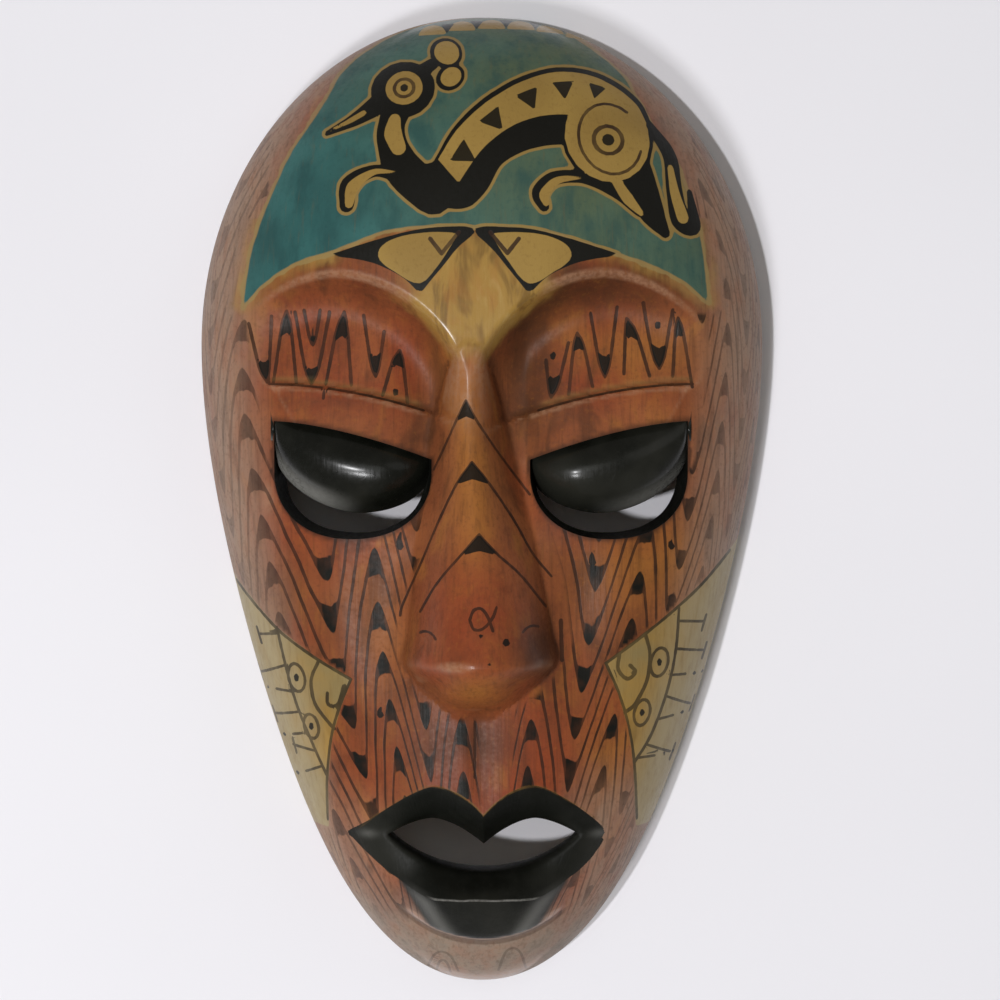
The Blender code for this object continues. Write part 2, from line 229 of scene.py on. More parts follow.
def soft_max(first, second, fillet):
    """The larger of two heights, with a fillet where they cross."""
    return first + fillet * np.logaddexp(0.0, (second - first) / fillet)


def share_to(y, end):
    """How far y lies from the mask's widest place towards one of its ends."""
    return np.clip((y - WIDEST_AT) / (end - WIDEST_AT), 0.0, 1.0)


def half_width(y):
    """Half the mask's width at a height of the pattern."""
    up, down = share_to(y, CROWN_AT), share_to(y, CHIN_AT)
    jaw = sum(part * down**power for power, part in enumerate(JAW, 2))
    return HALF_WIDTH * np.sqrt(np.clip(1.0 - up**2 - jaw, 0.0, 1.0))


def dome_height(y):
    """Height of the plain dome along the middle of the face."""
    return DOME * rounded(share_to(y, CROWN_AT), *CROWN_ROUND) * rounded(share_to(y, CHIN_AT), *CHIN_ROUND)


def section(x, y):
    """Share of the dome's height that is left at a distance from the middle."""
    reach = np.maximum(half_width(y), 1e-6)
    return rounded(np.minimum(np.abs(x) / reach, 1.0), SECTION_POWER, SECTION_POWER)


def midline(y):
    """Where the carver's middle line runs: it leans a little at the bridge of the nose."""
    return BRIDGE_SHIFT * np.exp(-(((y - BRIDGE_AT) / BRIDGE_LENGTH) ** 2))


def lid_fold(side):
    """Height of the crease over the eyelid at a distance from the middle."""
    inwards = np.clip((EYE_OUTER_CORNER - side) / LID_FOLD_LENGTH, 0.0, 2.0)
    return LID_FOLD_AT - LID_FOLD_DROP * inwards**1.8


def lid_edge(side):
    """Height of the upper edge of the eye opening."""
    span = EYE_OUTER_CORNER - EYE_INNER_CORNER
    return EYE_TOP_AT - EYE_TOP_DROP * np.clip((EYE_OUTER_CORNER - side) / span, 0.0, 1.2) ** 1.6


def socket_foot(side):
    """Height of the lower edge of the eye opening."""
    return SOCKET_TOP_AT - SOCKET_DROP * rounded((side - EYE_CENTRE) / EYE_REACH, 2.2, 2.2)


def eyelid_foot(side, slit):
    """Height of the lower edge of the eyelid, a slit above the opening's edge."""
    tilt = LID_TOP_AT + LID_TILT * (side - EYE_CENTRE)
    return tilt - (LID_DROP - slit) * rounded((side - EYE_CENTRE) / EYE_REACH, 1.8, 1.8)


def eye_panel(side, y):
    """Surface between brow and eye: it comes forward towards the eyelid."""
    forward = PANEL_FORWARD * np.clip((PANEL_TOP_AT - y) / PANEL_LENGTH, 0.0, 1.2)
    inwards, outwards = (np.clip(sign * (side - PANEL_TURN_AT), 0.0, None) for sign in (-1.0, 1.0))
    outer_fall = PANEL_FALL * (outwards / PANEL_SIDES[1]) ** 2
    inner_fall = np.minimum(PANEL_FALL * (inwards / PANEL_SIDES[0]) ** 2, PANEL_DEEPEST)
    fold = LID_FOLD_STEP * smooth(0.8, -0.8, y - lid_fold(side))
    return PANEL_HEIGHT + forward - outer_fall - inner_fall + fold


def brow_hollow(x, y):
    """1 inside the hollows under the brows, 0 outside, with a crisp crest along each brow."""
    side = np.abs(x)
    hollow = np.zeros_like(x)
    for centre in BROW_CENTRES:
        across = np.abs(x - centre) / BROW_REACH
        above = np.clip(y - BROW_FOOT, 0.0, None) / BROW_RISE
        reach = (across**BROW_POWER + above**BROW_POWER) ** (1.0 / BROW_POWER)
        fall = np.clip((reach - BROW_FLAT) / (1.0 - BROW_FLAT), 0.0, 1.6) ** 2
        arc = 1.0 + soft_max(-fall, -1.0, BROW_EDGE)
        temple = TEMPLE + TEMPLE_LEAN * (y - TEMPLE_AT)
        arc = arc * (1.0 - smooth(*TEMPLE_BLEND, side - temple))
        hollow = np.maximum(hollow, arc)
    return hollow * smooth(*BROW_FADE, y)


def nose(x, y, face):
    """The nose as a ridge over the face, with wings at its foot and a blunt underside."""
    rise = np.clip((NOSE_RISES_AT - y) / (NOSE_RISES_AT - NOSE_TIP_AT), 0.0, 1.0)
    ridge = DOME + (PATTERN[2] - DOME) * rise**1.15
    down = np.clip((NOSE_TOP_AT - y) / (NOSE_TOP_AT - NOSE_TIP_AT), 0.0, 1.0)
    under = np.clip((NOSE_TIP_AT - y) / (NOSE_TIP_AT - NOSE_BASE_AT), 0.0, 1.0)
    breadth = NOSE_WING * down**0.5 * (1.0 - (1.0 - NOSE_BASE_SHARE) * under**NOSE_BASE_CURVE)
    side = np.abs(x - midline(y) - NOSE_BASE_SHIFT * under)
    across = np.clip(side / np.maximum(breadth, 1e-3), 0.0, 1.0)
    profile = 1.0 - across ** (NOSE_SHARP + (NOSE_BLUNT - NOSE_SHARP) * smooth(*NOSE_BLUNTED, y))
    foot = face - NOSE_SUNK * smooth(*NOSE_SINKS, y)
    fall = under**1.5
    body = foot + (ridge * (1.0 - fall) + (face - BASE_SUNK) * fall - foot) * profile
    body = body + WING_SWELL * bump(side - WING_AT[0], y - WING_AT[1], WING_REACH)
    body = body - NOSTRIL_DIP * bump(side - NOSTRIL_AT[0], y - NOSTRIL_AT[1], NOSTRIL_REACH)
    body = np.where((y < NOSE_TOP_AT) & (y > NOSE_BASE_AT), body, 0.0)
    fillet = NOSE_FILLET + (WING_FILLET - NOSE_FILLET) * smooth(*WING_FILLETED, y)
    return soft_max(face, body - BASE_SUNK * smooth(0.9, 1.0, across), fillet)


def upper_lip(share):
    """Height of the upper lip's edge over the mouth's corners, as a cupid's bow."""
    outer = np.clip((share - LIP_PEAK_SHARE) / (1.0 - LIP_PEAK_SHARE), 0.0, 1.0)
    inner = np.clip((LIP_PEAK_SHARE - share) / LIP_PEAK_SHARE, 0.0, 1.0)
    return LIP_PEAK * (1.0 - outer**1.4) - LIP_NOTCH * inner**2


def lower_lip(share):
    """Depth of the lower lip's ridge under the mouth's corners."""
    outer = np.clip((share - LIP_FLAT_SHARE) / (1.0 - LIP_FLAT_SHARE), 0.0, 1.0)
    return LIP_DROP * (1.0 - outer**1.55)


def face_height(x, y):
    """Height of the carved face over the back rim."""
    side = np.abs(x)
    plain = dome_height(y) * section(x, y)
    cheek = plain - CHEEK_DIP * bump(side - CHEEK_AT[0], y - CHEEK_AT[1], CHEEK_REACH)
    muzzle = MUZZLE_SWELL * bump(x, y - MUZZLE_AT, MUZZLE_REACH)
    face = cheek + muzzle * smooth(0.0, 0.4, section(x, y))
    hollow = brow_hollow(x, y)
    face = face + (np.minimum(eye_panel(side, y), face) - face) * hollow
    face = nose(x, y, face)
    philtrum = np.exp(-((x / PHILTRUM_WIDTH) ** 2)) * smooth(*PHILTRUM_FOOT, y) * smooth(*PHILTRUM_TOP, y)
    across = np.abs(x - MOUTH_CENTRE)
    foot = LOWER_LIP_FOOT + LOWER_LIP_CURVE * across**2
    lip = smooth(*LOWER_LIP_SIDES, across) * smooth(*LOWER_LIP_EDGE, y - foot) * smooth(*LOWER_LIP_TOP, y)
    return face - philtrum + LOWER_LIP_SWELL * lip


def hand_cut(x, y, size):
    """Slow unevenness of work done by hand, between about -1 and 1."""
    first = np.sin(x / (0.9 * size) + 1.3 * np.sin(y / (1.4 * size)))
    second = np.sin(y / size + 1.1 * np.sin(x / (1.7 * size) + 0.8))
    return 0.5 * (first + second)


def hollow_height(x, y, wall):
    """Height of the gouged-out back, which follows the face loosely."""
    side = np.abs(x)
    plain = dome_height(y) * section(x, y) * (1.0 - wall / DOME)
    eyes = EYE_WALL_DROP * bump(side - EYE_WALL_AT[0], y - EYE_WALL_AT[1], EYE_WALL_REACH, power=4.0)
    nose_room = NOSE_ROOM_RISE * bump(x, y - NOSE_ROOM_AT, NOSE_ROOM_REACH)
    return plain - (eyes - nose_room) * smooth(0.2, 0.7, section(x, y))


def gouge_marks(x, y, pitch, depth):
    """Shallow scoops that a curved chisel leaves side by side in rows along the hollow."""
    row = x / pitch + 0.35 * np.sin(y / 31.0)
    along = y / (2.6 * pitch) + 0.5 * (np.floor(row) % 2.0) + 0.21 * np.sin(3.1 * np.floor(row))
    across = 2.0 * (row - np.floor(row)) - 1.0
    length = 2.0 * (along - np.floor(along)) - 1.0
    return depth * np.clip(1.0 - across**2, 0.0, 1.0) * np.clip(1.0 - length**2, 0.0, 1.0)


# Grids and solids

def crowded(count):
    """Shares from -1 to 1, evenly spaced but crowding together at both ends."""
    even = np.linspace(-1.0, 1.0, count)
    return (6.0 * even - even * np.abs(even) ** 5) / 5.0


def dome_grid(rows, columns):
    y = CROWN_AT * crowded(rows)[:, None]
    x = half_width(y) * crowded(columns)[None, :]
    return x, y + 0.0 * x


def sunk(height):
    lowered = height.copy()
    lowered[[0, -1]] = -CUT_BELOW
    lowered[:, [0, -1]] = -CUT_BELOW
    return lowered


def as_points(x, y, z):
    return np.stack(np.broadcast_arrays(x, y, z), axis=-1)


def edge_of(grid):
    return np.concatenate((grid[0, :-1], grid[:-1, -1], grid[-1, :0:-1], grid[:0:-1, 0]))


def slab(name, layers, mark):
    """A closed solid between a front and a back grid, whose faces all carry one mark."""
    rows, columns = layers[0].shape[:2]
    index = np.arange(len(layers) * rows * columns).reshape(len(layers), rows, columns)
    faces = []
    for grid in (index[0], index[-1, :, ::-1]):
        corners = (grid[:-1, :-1], grid[:-1, 1:], grid[1:, 1:], grid[1:, :-1])
        faces += np.stack(corners, axis=-1).reshape(-1, 4).tolist()
    for over, under in zip(index[:-1], index[1:]):
        upper = edge_of(over)
        lower = edge_of(under)
        walls = (np.roll(upper, 1), np.roll(lower, 1), lower, upper)
        faces += np.stack(walls, axis=-1).tolist()
    mesh = bpy.data.meshes.new(name)
    mesh.from_pydata(np.concatenate([grid.reshape(-1, 3) for grid in layers]), [], faces)
    shape = bmesh.new()
    shape.from_mesh(mesh)
    loose = [point for point in shape.verts if not point.link_faces]
    bmesh.ops.delete(shape, geom=loose, context="VERTS")
    bmesh.ops.remove_doubles(shape, verts=shape.verts, dist=1e-3)
    bmesh.ops.dissolve_degenerate(shape, dist=1e-4, edges=shape.edges)
    bmesh.ops.triangulate(shape, faces=shape.faces)
    bmesh.ops.recalc_face_normals(shape, faces=shape.faces)
    for face in shape.faces:
        face.material_index = mark
    shape.to_mesh(mesh)
    shape.free()
    for _ in range(RIM + 1):
        mesh.materials.append(None)
    solid = bpy.data.objects.new(name, mesh)
    bpy.context.scene.collection.objects.link(solid)
    return solid


def ladder(x, low, high, z, rows):
    share = np.linspace(0.0, 1.0, rows)[:, None]
    return as_points(x[None, :], low + (high - low) * share, z)


def read(items, name, kind=float, width=1):
    values = np.empty(len(items) * width, kind)
    items.foreach_get(name, values)
    return values


def carve(solid, tools):
    """Applies each (tool, operation) in turn and leaves one plain mesh; the tools are thrown away."""
    for tool, operation in tools:
        step = solid.modifiers.new(tool.name, "BOOLEAN")
        step.operation = operation
        step.solver = "EXACT"
        step.object = tool
    bpy.context.view_layer.update()
    carved = bpy.data.meshes.new_from_object(solid.evaluated_get(bpy.context.evaluated_depsgraph_get()))
    solid.modifiers.clear()
    solid.data = carved
    for tool, _ in tools:
        bpy.data.meshes.remove(tool.data)


def eye_opening(name, direction):
    """The hole for an eye: straight down to the face, and leaning inwards behind it."""
    side = EYE_CENTRE - EYE_REACH * np.cos(np.linspace(0.0, np.pi, OPENING_STEPS))
    low = socket_foot(side)
    high = np.maximum(lid_edge(side), low)
    level = face_height(direction * side, low) - 1.0
    share = 1.0 - SOCKET_LEAN * (level + CUT_BELOW) / EYE_REACH
    back_side = EYE_CENTRE + (side - EYE_CENTRE) * share
    back_low = SOCKET_TOP_AT - (SOCKET_TOP_AT - low) * share
    back_high = np.maximum(lid_edge(back_side), back_low)
    rungs = ((side, low, high, PATTERN[2]), (side, low, high, level),
             (back_side, back_low, back_high, -CUT_BELOW))
    return slab(name, [ladder(direction * across, *rung, 2) for across, *rung in rungs], SOCKET)


def eyelid(name, direction, slit, thickness):
    side = EYE_CENTRE - (EYE_REACH + 1.0) * np.cos(np.linspace(0.0, np.pi, LID_STEPS[1]))
    edge = lid_edge(side)
    low = np.minimum(eyelid_foot(side, slit), edge)
    share = np.linspace(0.0, 1.0, LID_STEPS[0])[:, None]
    y = low + (edge + LID_OVERLAP - low) * share
    hang = np.clip((edge - y) / np.maximum(edge - low, 1.0), 0.0, 1.0)
    across = rounded((side - EYE_CENTRE) / (EYE_REACH + 2.0), 2.5, 1.0)
    flat = eye_panel(side, edge) - LID_SET_BACK - LID_SAG * hang**2
    to_edge = (y - low) / np.sqrt(1.0 + np.gradient(low, side) ** 2)
    roll = LID_ROLL * (1.0 - np.clip(to_edge / LID_ROLL_WIDTH, 0.0, 1.0)) ** 2
    z = flat + LID_BULGE * np.sin(np.pi * hang**0.9) * across - roll
    x = direction * side[None, :]
    return slab(name, (as_points(x, y, z), as_points(x, y, flat - thickness)), LID)


def mouth_opening(bevel):
    share = np.linspace(-1.0, 1.0, MOUTH_STEPS)
    reach = np.abs(share)
    lips_x = MOUTH_CENTRE + MOUTH_REACH * share
    lips_high = MOUTH_CORNER_AT + upper_lip(reach)
    lips_low = MOUTH_CORNER_AT - lower_lip(reach)
    hole_x = MOUTH_CENTRE + OPENING_REACH * share
    outer = np.clip((reach - OPENING_PEAK_SHARE) / (1.0 - OPENING_PEAK_SHARE), 0.0, 1.0)
    inner = np.clip((OPENING_PEAK_SHARE - reach) / OPENING_PEAK_SHARE, 0.0, 1.0)
    hole_high = MOUTH_CORNER_AT + OPENING_PEAK * (1.0 - outer**1.6) - OPENING_NOTCH * inner**1.7
    hole_low = MOUTH_CORNER_AT - OPENING_DROP * rounded(reach, 2.0, 1.25)
    level = float(face_height(np.array(0.0), np.array(OPENING_LEVEL_AT))) - bevel
    layers = []
    for step in np.linspace(LIP_PAST, 0.0, LIP_STEPS):
        edges = []
        for lips_y, hole_y in ((lips_low, hole_low), (lips_high, hole_high)):
            lips_z = level + step * (face_height(lips_x, lips_y) - level) + LIP_SWELL * step * (1.0 - step)
            edge_x = hole_x + step * (lips_x - hole_x)
            edges.append(as_points(edge_x, hole_y + step * (lips_y - hole_y), lips_z))
        layers.append(np.stack((edges[0], (edges[0] + edges[1]) / 2, edges[1])))
    layers[0][1, :, 2] += bevel * rounded(share, 2.0, 1.0)
    layers.append(ladder(hole_x, hole_low, hole_high, -CUT_BELOW, 3))
    return slab("mouth", layers, MOUTH)


def block_below():
    x = np.linspace(-1.2, 1.2, 2) * HALF_WIDTH
    y = 1.2 * CROWN_AT
    return slab("below rim", (ladder(x, -y, y, 0.0, 2), ladder(x, -y, y, -3.0 * CUT_BELOW, 2)), RIM)


# Drawing

LAYERS = 3
PLACES_AT_ONCE = 4000
FAR = -6.0


def curve(points, steps=6):
    """A smooth line through a few points."""
    points = np.asarray(points, float)
    ends = np.concatenate(([2 * points[0] - points[1]], points, [2 * points[-1] - points[-2]]))
    share = np.linspace(0.0, 1.0, steps, endpoint=False)[:, None]
    line = []
    for before, start, end, after in zip(ends[:-3], ends[1:-2], ends[2:-1], ends[3:]):
        bend = 2 * before - 5 * start + 4 * end - after
        twist = 3 * (start - end) + after - before
        line.append(start + 0.5 * share * ((end - before) + share * (bend + share * twist)))
    return np.concatenate(line + [points[-1:]])


def ring(centre, reach, squash=1.0, lean=0.0, start=0.0, end=360.0, steps=20):
    """Points of an ellipse or of an arc of it, with angles in degrees."""
    turn = np.radians(np.linspace(start, end, steps))
    across, along = reach * squash * np.cos(turn), reach * np.sin(turn)
    tilt = math.radians(lean)
    x = centre[0] + across * math.cos(tilt) - along * math.sin(tilt)
    y = centre[1] + across * math.sin(tilt) + along * math.cos(tilt)
    return np.stack((x, y), axis=-1)


def nearest(places, starts, ends):
    """Offset from each place to the nearest of many straight lines, and that line's number."""
    along = ends - starts
    length = np.maximum((along**2).sum(1), 1e-9)
    offset = np.zeros_like(places)
    number = np.zeros(len(places), int)
    for first in range(0, len(places), PLACES_AT_ONCE):
        batch = slice(first, first + PLACES_AT_ONCE)
        some = places[batch]
        gap = some[:, None, :] - starts[None]
        share = np.clip((gap * along[None]).sum(2) / length[None], 0.0, 1.0)
        gap = gap - share[..., None] * along[None]
        pick = (gap**2).sum(2).argmin(1)
        number[batch] = pick
        offset[batch] = gap[np.arange(len(some)), pick]
    return offset, number


def depth_in(places, outline):
    """Distance to a closed outline: positive inside it, negative outside."""
    outline = np.asarray(outline, float)
    ends = np.roll(outline, -1, axis=0)
    offset, _ = nearest(places, outline, ends)
    x, y = places[:, 0], places[:, 1]
    inside = np.zeros(len(places), bool)
    for (x0, y0), (x1, y1) in zip(outline, ends):
        if y0 != y1:
            crosses = (y0 > y) != (y1 > y)
            inside ^= crosses & (x < x0 + (y - y0) * (x1 - x0) / (y1 - y0))
    return np.where(inside, 1.0, -1.0) * np.hypot(offset[:, 0], offset[:, 1])


def limb(points, widths):
    """The outline of a stroke that changes width along its way, with round ends."""
    line = curve(points)
    width = np.interp(np.linspace(0.0, 1.0, len(line)), np.linspace(0.0, 1.0, len(widths)), widths)
    along = np.gradient(line, axis=0)
    along /= np.maximum(np.hypot(along[:, 0], along[:, 1]), 1e-9)[:, None]
    side = np.stack((-along[:, 1], along[:, 0]), axis=-1) * width[:, None] / 2
    turn = np.linspace(0.0, np.pi, 7)[1:-1, None]
    end_cap = line[-1] + side[-1] * np.cos(turn) + along[-1] * width[-1] / 2 * np.sin(turn)
    start_cap = line[0] - side[0] * np.cos(turn) - along[0] * width[0] / 2 * np.sin(turn)
    return np.concatenate((line + side, end_cap, (line - side)[::-1], start_cap))


class Drawing:
    """Closed shapes and thin strokes, each in three layers; strokes that cross lie in different layers."""

    def __init__(self):
        self.shapes = [[] for _ in range(LAYERS)]
        self.strokes = [[] for _ in range(LAYERS)]

    def shape(self, layer, outline):
        self.shapes[layer].append(np.asarray(outline, float))

    def stroke(self, points, width=0.9, layer=0):
        self.strokes[layer].append((np.asarray(points, float), width))

    def depths(self, places):
        """For each layer, the distance into the nearest of its shapes."""
        result = np.full((len(places), LAYERS), FAR)
        for number, outlines in enumerate(self.shapes):
            for outline in outlines:
                low, high = outline.min(0) + FAR, outline.max(0) - FAR
                near = np.all((places > low) & (places < high), axis=1)
                depth = depth_in(places[near], outline)
                result[near, number] = np.maximum(result[near, number], depth)
        return result

    def strokes_near(self, places, layer):
        """Offset to the nearest stroke in half-widths of that stroke, and the plain distance to it."""
        lines = self.strokes[layer]
        starts = np.concatenate([line[:-1] for line, _ in lines])
        ends = np.concatenate([line[1:] for line, _ in lines])
        widths = np.concatenate([np.full(len(line) - 1, width) for line, width in lines])
        offset, number = nearest(places, starts, ends)
        distance = np.hypot(offset[:, 0], offset[:, 1])
        scaled = offset / (widths[number] / 2)[:, None]
        limit = np.minimum(1.0, 12.0 / np.maximum(np.hypot(scaled[:, 0], scaled[:, 1]), 1e-9))
        return np.column_stack((scaled * limit[:, None], distance))


def tooth(drawing, legs, cap, width=0.9, layers=(0, 1)):
    """A pointed mark: two legs from one tip, and the corner between them filled over a height."""
    outline = []
    feet = []
    for leg, layer in zip(legs, layers):
        line = curve(leg)
        drawing.stroke(line, width, layer)
        drop = np.abs(line[:, 1] - line[0, 1])
        foot = np.array([np.interp(cap, drop, line[:, axis]) for axis in (0, 1)])
        feet.append(foot)
        outline.append(np.concatenate((line[drop < cap], foot[None])))
    tip = outline[0][0]
    middle = (feet[0] + feet[1]) / 2 + 0.22 * (tip - (feet[0] + feet[1]) / 2)
    drawing.shape(2, np.concatenate((outline[0], middle[None], outline[1][::-1])))


def bowed(tip, end):
    """A leg of a pointed mark, which leaves its tip a little sideways and then runs straight."""
    tip, end = np.array(tip, float), np.array(end, float)
    shoulder = tip + (end - tip) * (0.42, 0.25)
    return tip, shoulder, end


def animal(drawing):
    """A running beast on the forehead, in ochre and black."""
    black, ochre, marks = 0, 1, 2
    back = curve(((-14, 99), (-7, 111), (5, 122), (20, 129), (35, 128.5), (47, 121), (52, 111)))
    belly = curve(((50, 101), (34, 104), (19, 104), (7, 99), (1.5, 90), (-4.5, 85), (-13, 86.5), (-24, 96)))
    drawing.shape(black, np.concatenate((back, belly)))
    inner_back = curve(((-12.6, 99.8), (-6, 110.2), (5.4, 120.4), (20, 127.4), (34, 127), (45.5, 120),
                        (50, 112)))
    inner_belly = curve(((40, 112), (25, 114), (12, 111.5), (1, 103.5), (-6.5, 92.5)))
    drawing.shape(ochre, np.concatenate((inner_back, inner_belly)))
    for x, y, reach, lean in ((-5.2, 101.5, 4.6, 58), (3.6, 112.2, 4.5, 40), (14.2, 119.3, 4.3, 24),
                              (24.6, 122.8, 3.9, 6), (34.6, 122.6, 3.2, -14)):
        turn = np.radians(np.array((270, 30, 150)) + lean)
        drawing.shape(marks, np.stack((x + reach * np.cos(turn), y + reach * np.sin(turn)), axis=-1))
    # Haunch, eye and crest
    for layer, middle, reach, squash, lean in (
            (black, (37.6, 107.5), 15.4, 0.9, 14), (ochre, (37.6, 107.5), 14.2, 0.9, 14),
            (black, (-23.4, 122.2), 9.3, 1.05, 20), (ochre, (-23, 122.6), 5.6, 1, 0),
            (black, (-10.6, 134.2), 5.6, 0.86, 25), (ochre, (-10.4, 134.3), 4.3, 0.86, 25),
            (black, (-9.2, 125.8), 4.7, 0.86, -35), (ochre, (-9, 125.9), 3.4, 0.86, -35)):
        drawing.shape(layer, ring(middle, reach, squash, lean))
    drawing.stroke(ring((38.4, 107), 11.2, 0.84, 14, 40, 330), 0.9, 1)
    for middle, reach, steps, width, dot, dot_steps in (((37.8, 106.5), 4.4, 16, 1.2, 1.9, 11),
                                                        ((-23, 122.6), 3, 14, 1, 1.3, 9)):
        drawing.stroke(ring(middle, reach, steps=steps), width, 2)
        drawing.shape(marks, ring(middle, dot, steps=dot_steps))
    # Neck, beak, fore leg, hind legs and tail
    for layer, points, widths in (
            (black, ((-14, 89), (-22, 96), (-26, 104), (-26.5, 111), (-23.6, 119)), (12, 11.5, 9, 8, 9)),
            (ochre, ((-24.4, 103.5), (-26, 108), (-25.6, 112.5)), (4.6, 5.4, 3.6)),
            (black, ((-28, 119.5), (-36.5, 113.5), (-46, 109)), (7.6, 4.6, 1.6)),
            (ochre, ((-35, 114.9), (-39.5, 112.4), (-45, 109.9)), (1.7, 1.5, 0.6)),
            (black, ((-19, 127), (-14.5, 130.5)), (5, 4)),
            (black, ((-9, 89), (-20, 93.4), (-31, 96.6), (-38.6, 92.6), (-39.6, 86.4)),
             (8, 5, 3.6, 5.6, 4.4)),
            (ochre, ((-25, 95.9), (-31.6, 96.2), (-37.6, 92), (-38.9, 86.8)), (0.8, 1.8, 3.8, 2.6)),
            (black, ((43, 99), (47.6, 91), (51, 84), (54.6, 78.6)), (15, 10.5, 7.6, 3)),
            (ochre, ((39.6, 94.4), (43.4, 88.6), (47.4, 84.2)), (2.6, 3.6, 1.6)),
            (black, ((48, 86), (40, 91.4), (30, 94.6), (21.4, 94), (17.4, 89.6), (18.6, 85.6)),
             (6.4, 5.6, 3.6, 4.2, 5, 3.2)),
            (ochre, ((30, 94.7), (22.4, 93.4), (18.7, 89.4), (19.2, 86.6)), (0.8, 2.2, 3, 2)),
            (black, ((50.5, 112), (56.4, 103), (57.6, 93), (59.4, 83), (63.6, 81.4), (62.4, 92)),
             (3, 4.4, 5, 6, 4.6, 1.6)),
            (ochre, ((56.6, 99), (57.9, 91), (60.2, 83.6)), (1.8, 3, 3.6))):
        drawing.shape(layer, limb(points, widths))


def leaves(drawing):
    """Two dark leaves that meet over the nose, with ochre hearts and a small hook in each."""
    for lean, base in ((-1, -2.4), (1, -1.2)):
        def at(x, y):
            return base + lean * x, y
        edges = (((-0.4, 79), (4, 79.6), (16, 78.8), (28.5, 75.8), (41.6, 71.9)),
                 ((41.6, 71.4), (30, 69.2), (21, 65), (16.2, 60.6)),
                 ((14.6, 60.6), (9, 67.5), (4.5, 73), (-0.4, 77.4)))
        drawing.shape(0, np.concatenate([curve([at(*point) for point in edge], 5) for edge in edges]))
        drawing.shape(1, curve((at(4, 77.6), at(12, 77.9), at(20.6, 76.9), at(26.4, 74.2), at(27.6, 70.2),
                                at(22.6, 66.2), at(15.2, 62.8), at(9.2, 69.4), at(4, 77.6)), 4))
        drawing.stroke([at(12.4, 76), at(9, 71.6)], 1.2, 0)
        drawing.stroke([at(9, 71.6), at(4, 77.8)], 1.2, 1)


def crown_scallops(drawing):
    """A row of ochre lobes with dark wedges between them, along the top of the forehead panel."""
    for number in range(6):
        x = -15.0 + 9.0 * number
        top = 143.2 - 0.004 * (x - 8) ** 2
        drawing.shape(1, ring((x, top), 4.2, 1, 0, 0, 180, 12))
        drawing.shape(2, ((x + 2.4, top + 4.4), (x + 6.6, top + 4.4), (x + 4.5, top + 0.4)))


# The pointed marks under each brow: tip, ends of the two legs, height of the filled corner
LEFT_TEETH = (
    ((-63.6, 34.6), (-69.5, 52.4), (-62.5, 54.3), 7.4), ((-58, 55.7), (-61.8, 34.1), (-54.8, 34.1), 8),
    ((-50, 45.6), (-52.7, 56), (-47.9, 56.1), 3.4), ((-50.3, 34.1), (-55.4, 55.4), (-45.1, 55.4), 5.5),
    ((-40.7, 55.4), (-46, 33.8), (-38.4, 33.6), 9), ((-31.2, 36.2), (-34.9, 54.3), (-28.8, 49.5), 7.4),
    ((-24.1, 43.9), (-29.1, 30.4), (-21.7, 28.3), 5.5),
)
RIGHT_TEETH = (
    ((20.8, 30.1), (19.3, 41.1), (26, 46.3), 7.1), ((28.6, 49.2), (26, 30.9), (33.1, 33.1), 6),
    ((36.8, 36), (32.6, 55.1), (40.5, 56.9), 7.7), ((43.4, 53.5), (42.4, 37), (50.1, 36.2), 6.9),
    ((53, 38.6), (48.2, 58), (57, 56.1), 7.7), ((58.6, 53.7), (57, 36.2), (62.8, 33.1), 6.4),
)


def brow_teeth(drawing):
    """Rows of pointed marks between the brows and the folds over the lids, and a line along each fold."""
    for tip, left, right, cap in LEFT_TEETH + RIGHT_TEETH:
        layers = (2, 2) if cap < 4.0 else (0, 1)
        tooth(drawing, (bowed(tip, left), bowed(tip, right)), cap, 1.05, layers)
    for x, y in ((-25.3, 31.5), (52.6, 51.6), (21.4, 42.4)):
        drawing.shape(2, ring((x, y), 1.3, 0.75, steps=9))
    side = np.linspace(17, EYE_OUTER_CORNER, 12)
    for direction in (-1, 1):
        drawing.stroke(np.column_stack((direction * side, lid_fold(side))), 0.75, 2)
    drawing.stroke([(-46.4, 31.6), (-46.6, 29.6)], 0.9, 2)


def nose_marks(drawing):
    """Three capped marks down the bridge, a loop and a few dots over the tip."""
    tooth(drawing, (((-4.3, 28.7), (-7.2, 22.6), (-10.2, 16), (-13.8, 8.6)),
                    ((-4.3, 28.7), (-1.2, 22.8), (5.2, 13.4), (14.4, 1.2))), 6.2, 0.75)
    tooth(drawing, (((-2.5, 10.5), (-6.8, 4.5), (-12.1, -6.3), (-17.1, -18), (-22.9, -31), (-23.8, -34.6)),
                    ((-2.5, 10.5), (2.4, 4.5), (9.7, -6.3), (15.3, -16.2), (20.9, -23))), 6.4, 0.75)
    tooth(drawing, (((-0.4, -10.4), (-5.3, -16), (-12.5, -24.4), (-17.6, -32.9)),
                    ((-0.4, -10.4), (4.8, -16), (11.7, -22.3), (19.1, -31.6))), 6.2, 0.75)
    drawing.stroke(curve(((4.7, -31.2), (3.4, -34.4), (0.8, -37.2), (-1.8, -37.4), (-3, -34.8))), 0.9, 2)
    drawing.stroke(curve(((-3, -34.8), (-1.9, -32), (0.4, -31.6), (2.2, -34), (3.6, -37.8))), 0.9, 0)
    for x, y, reach in ((0.2, -39.4, 0.8), (7.4, -41.2, 1.2), (2.6, -47, 0.7)):
        drawing.shape(2, ring((x, y), reach, steps=8))
    drawing.stroke(ring((-15.9, -41.6), 3.2, start=20, end=120), 0.8, 2)
    drawing.stroke(ring((15.2, -40.2), 3.4, start=60, end=150), 0.8, 2)
    drawing.stroke([(-1.7, -65.5), (-1.7, -82)], 0.8, 2)
    drawing.stroke([(23.6, -36), (23.9, -47.5)], 1.3, 2)


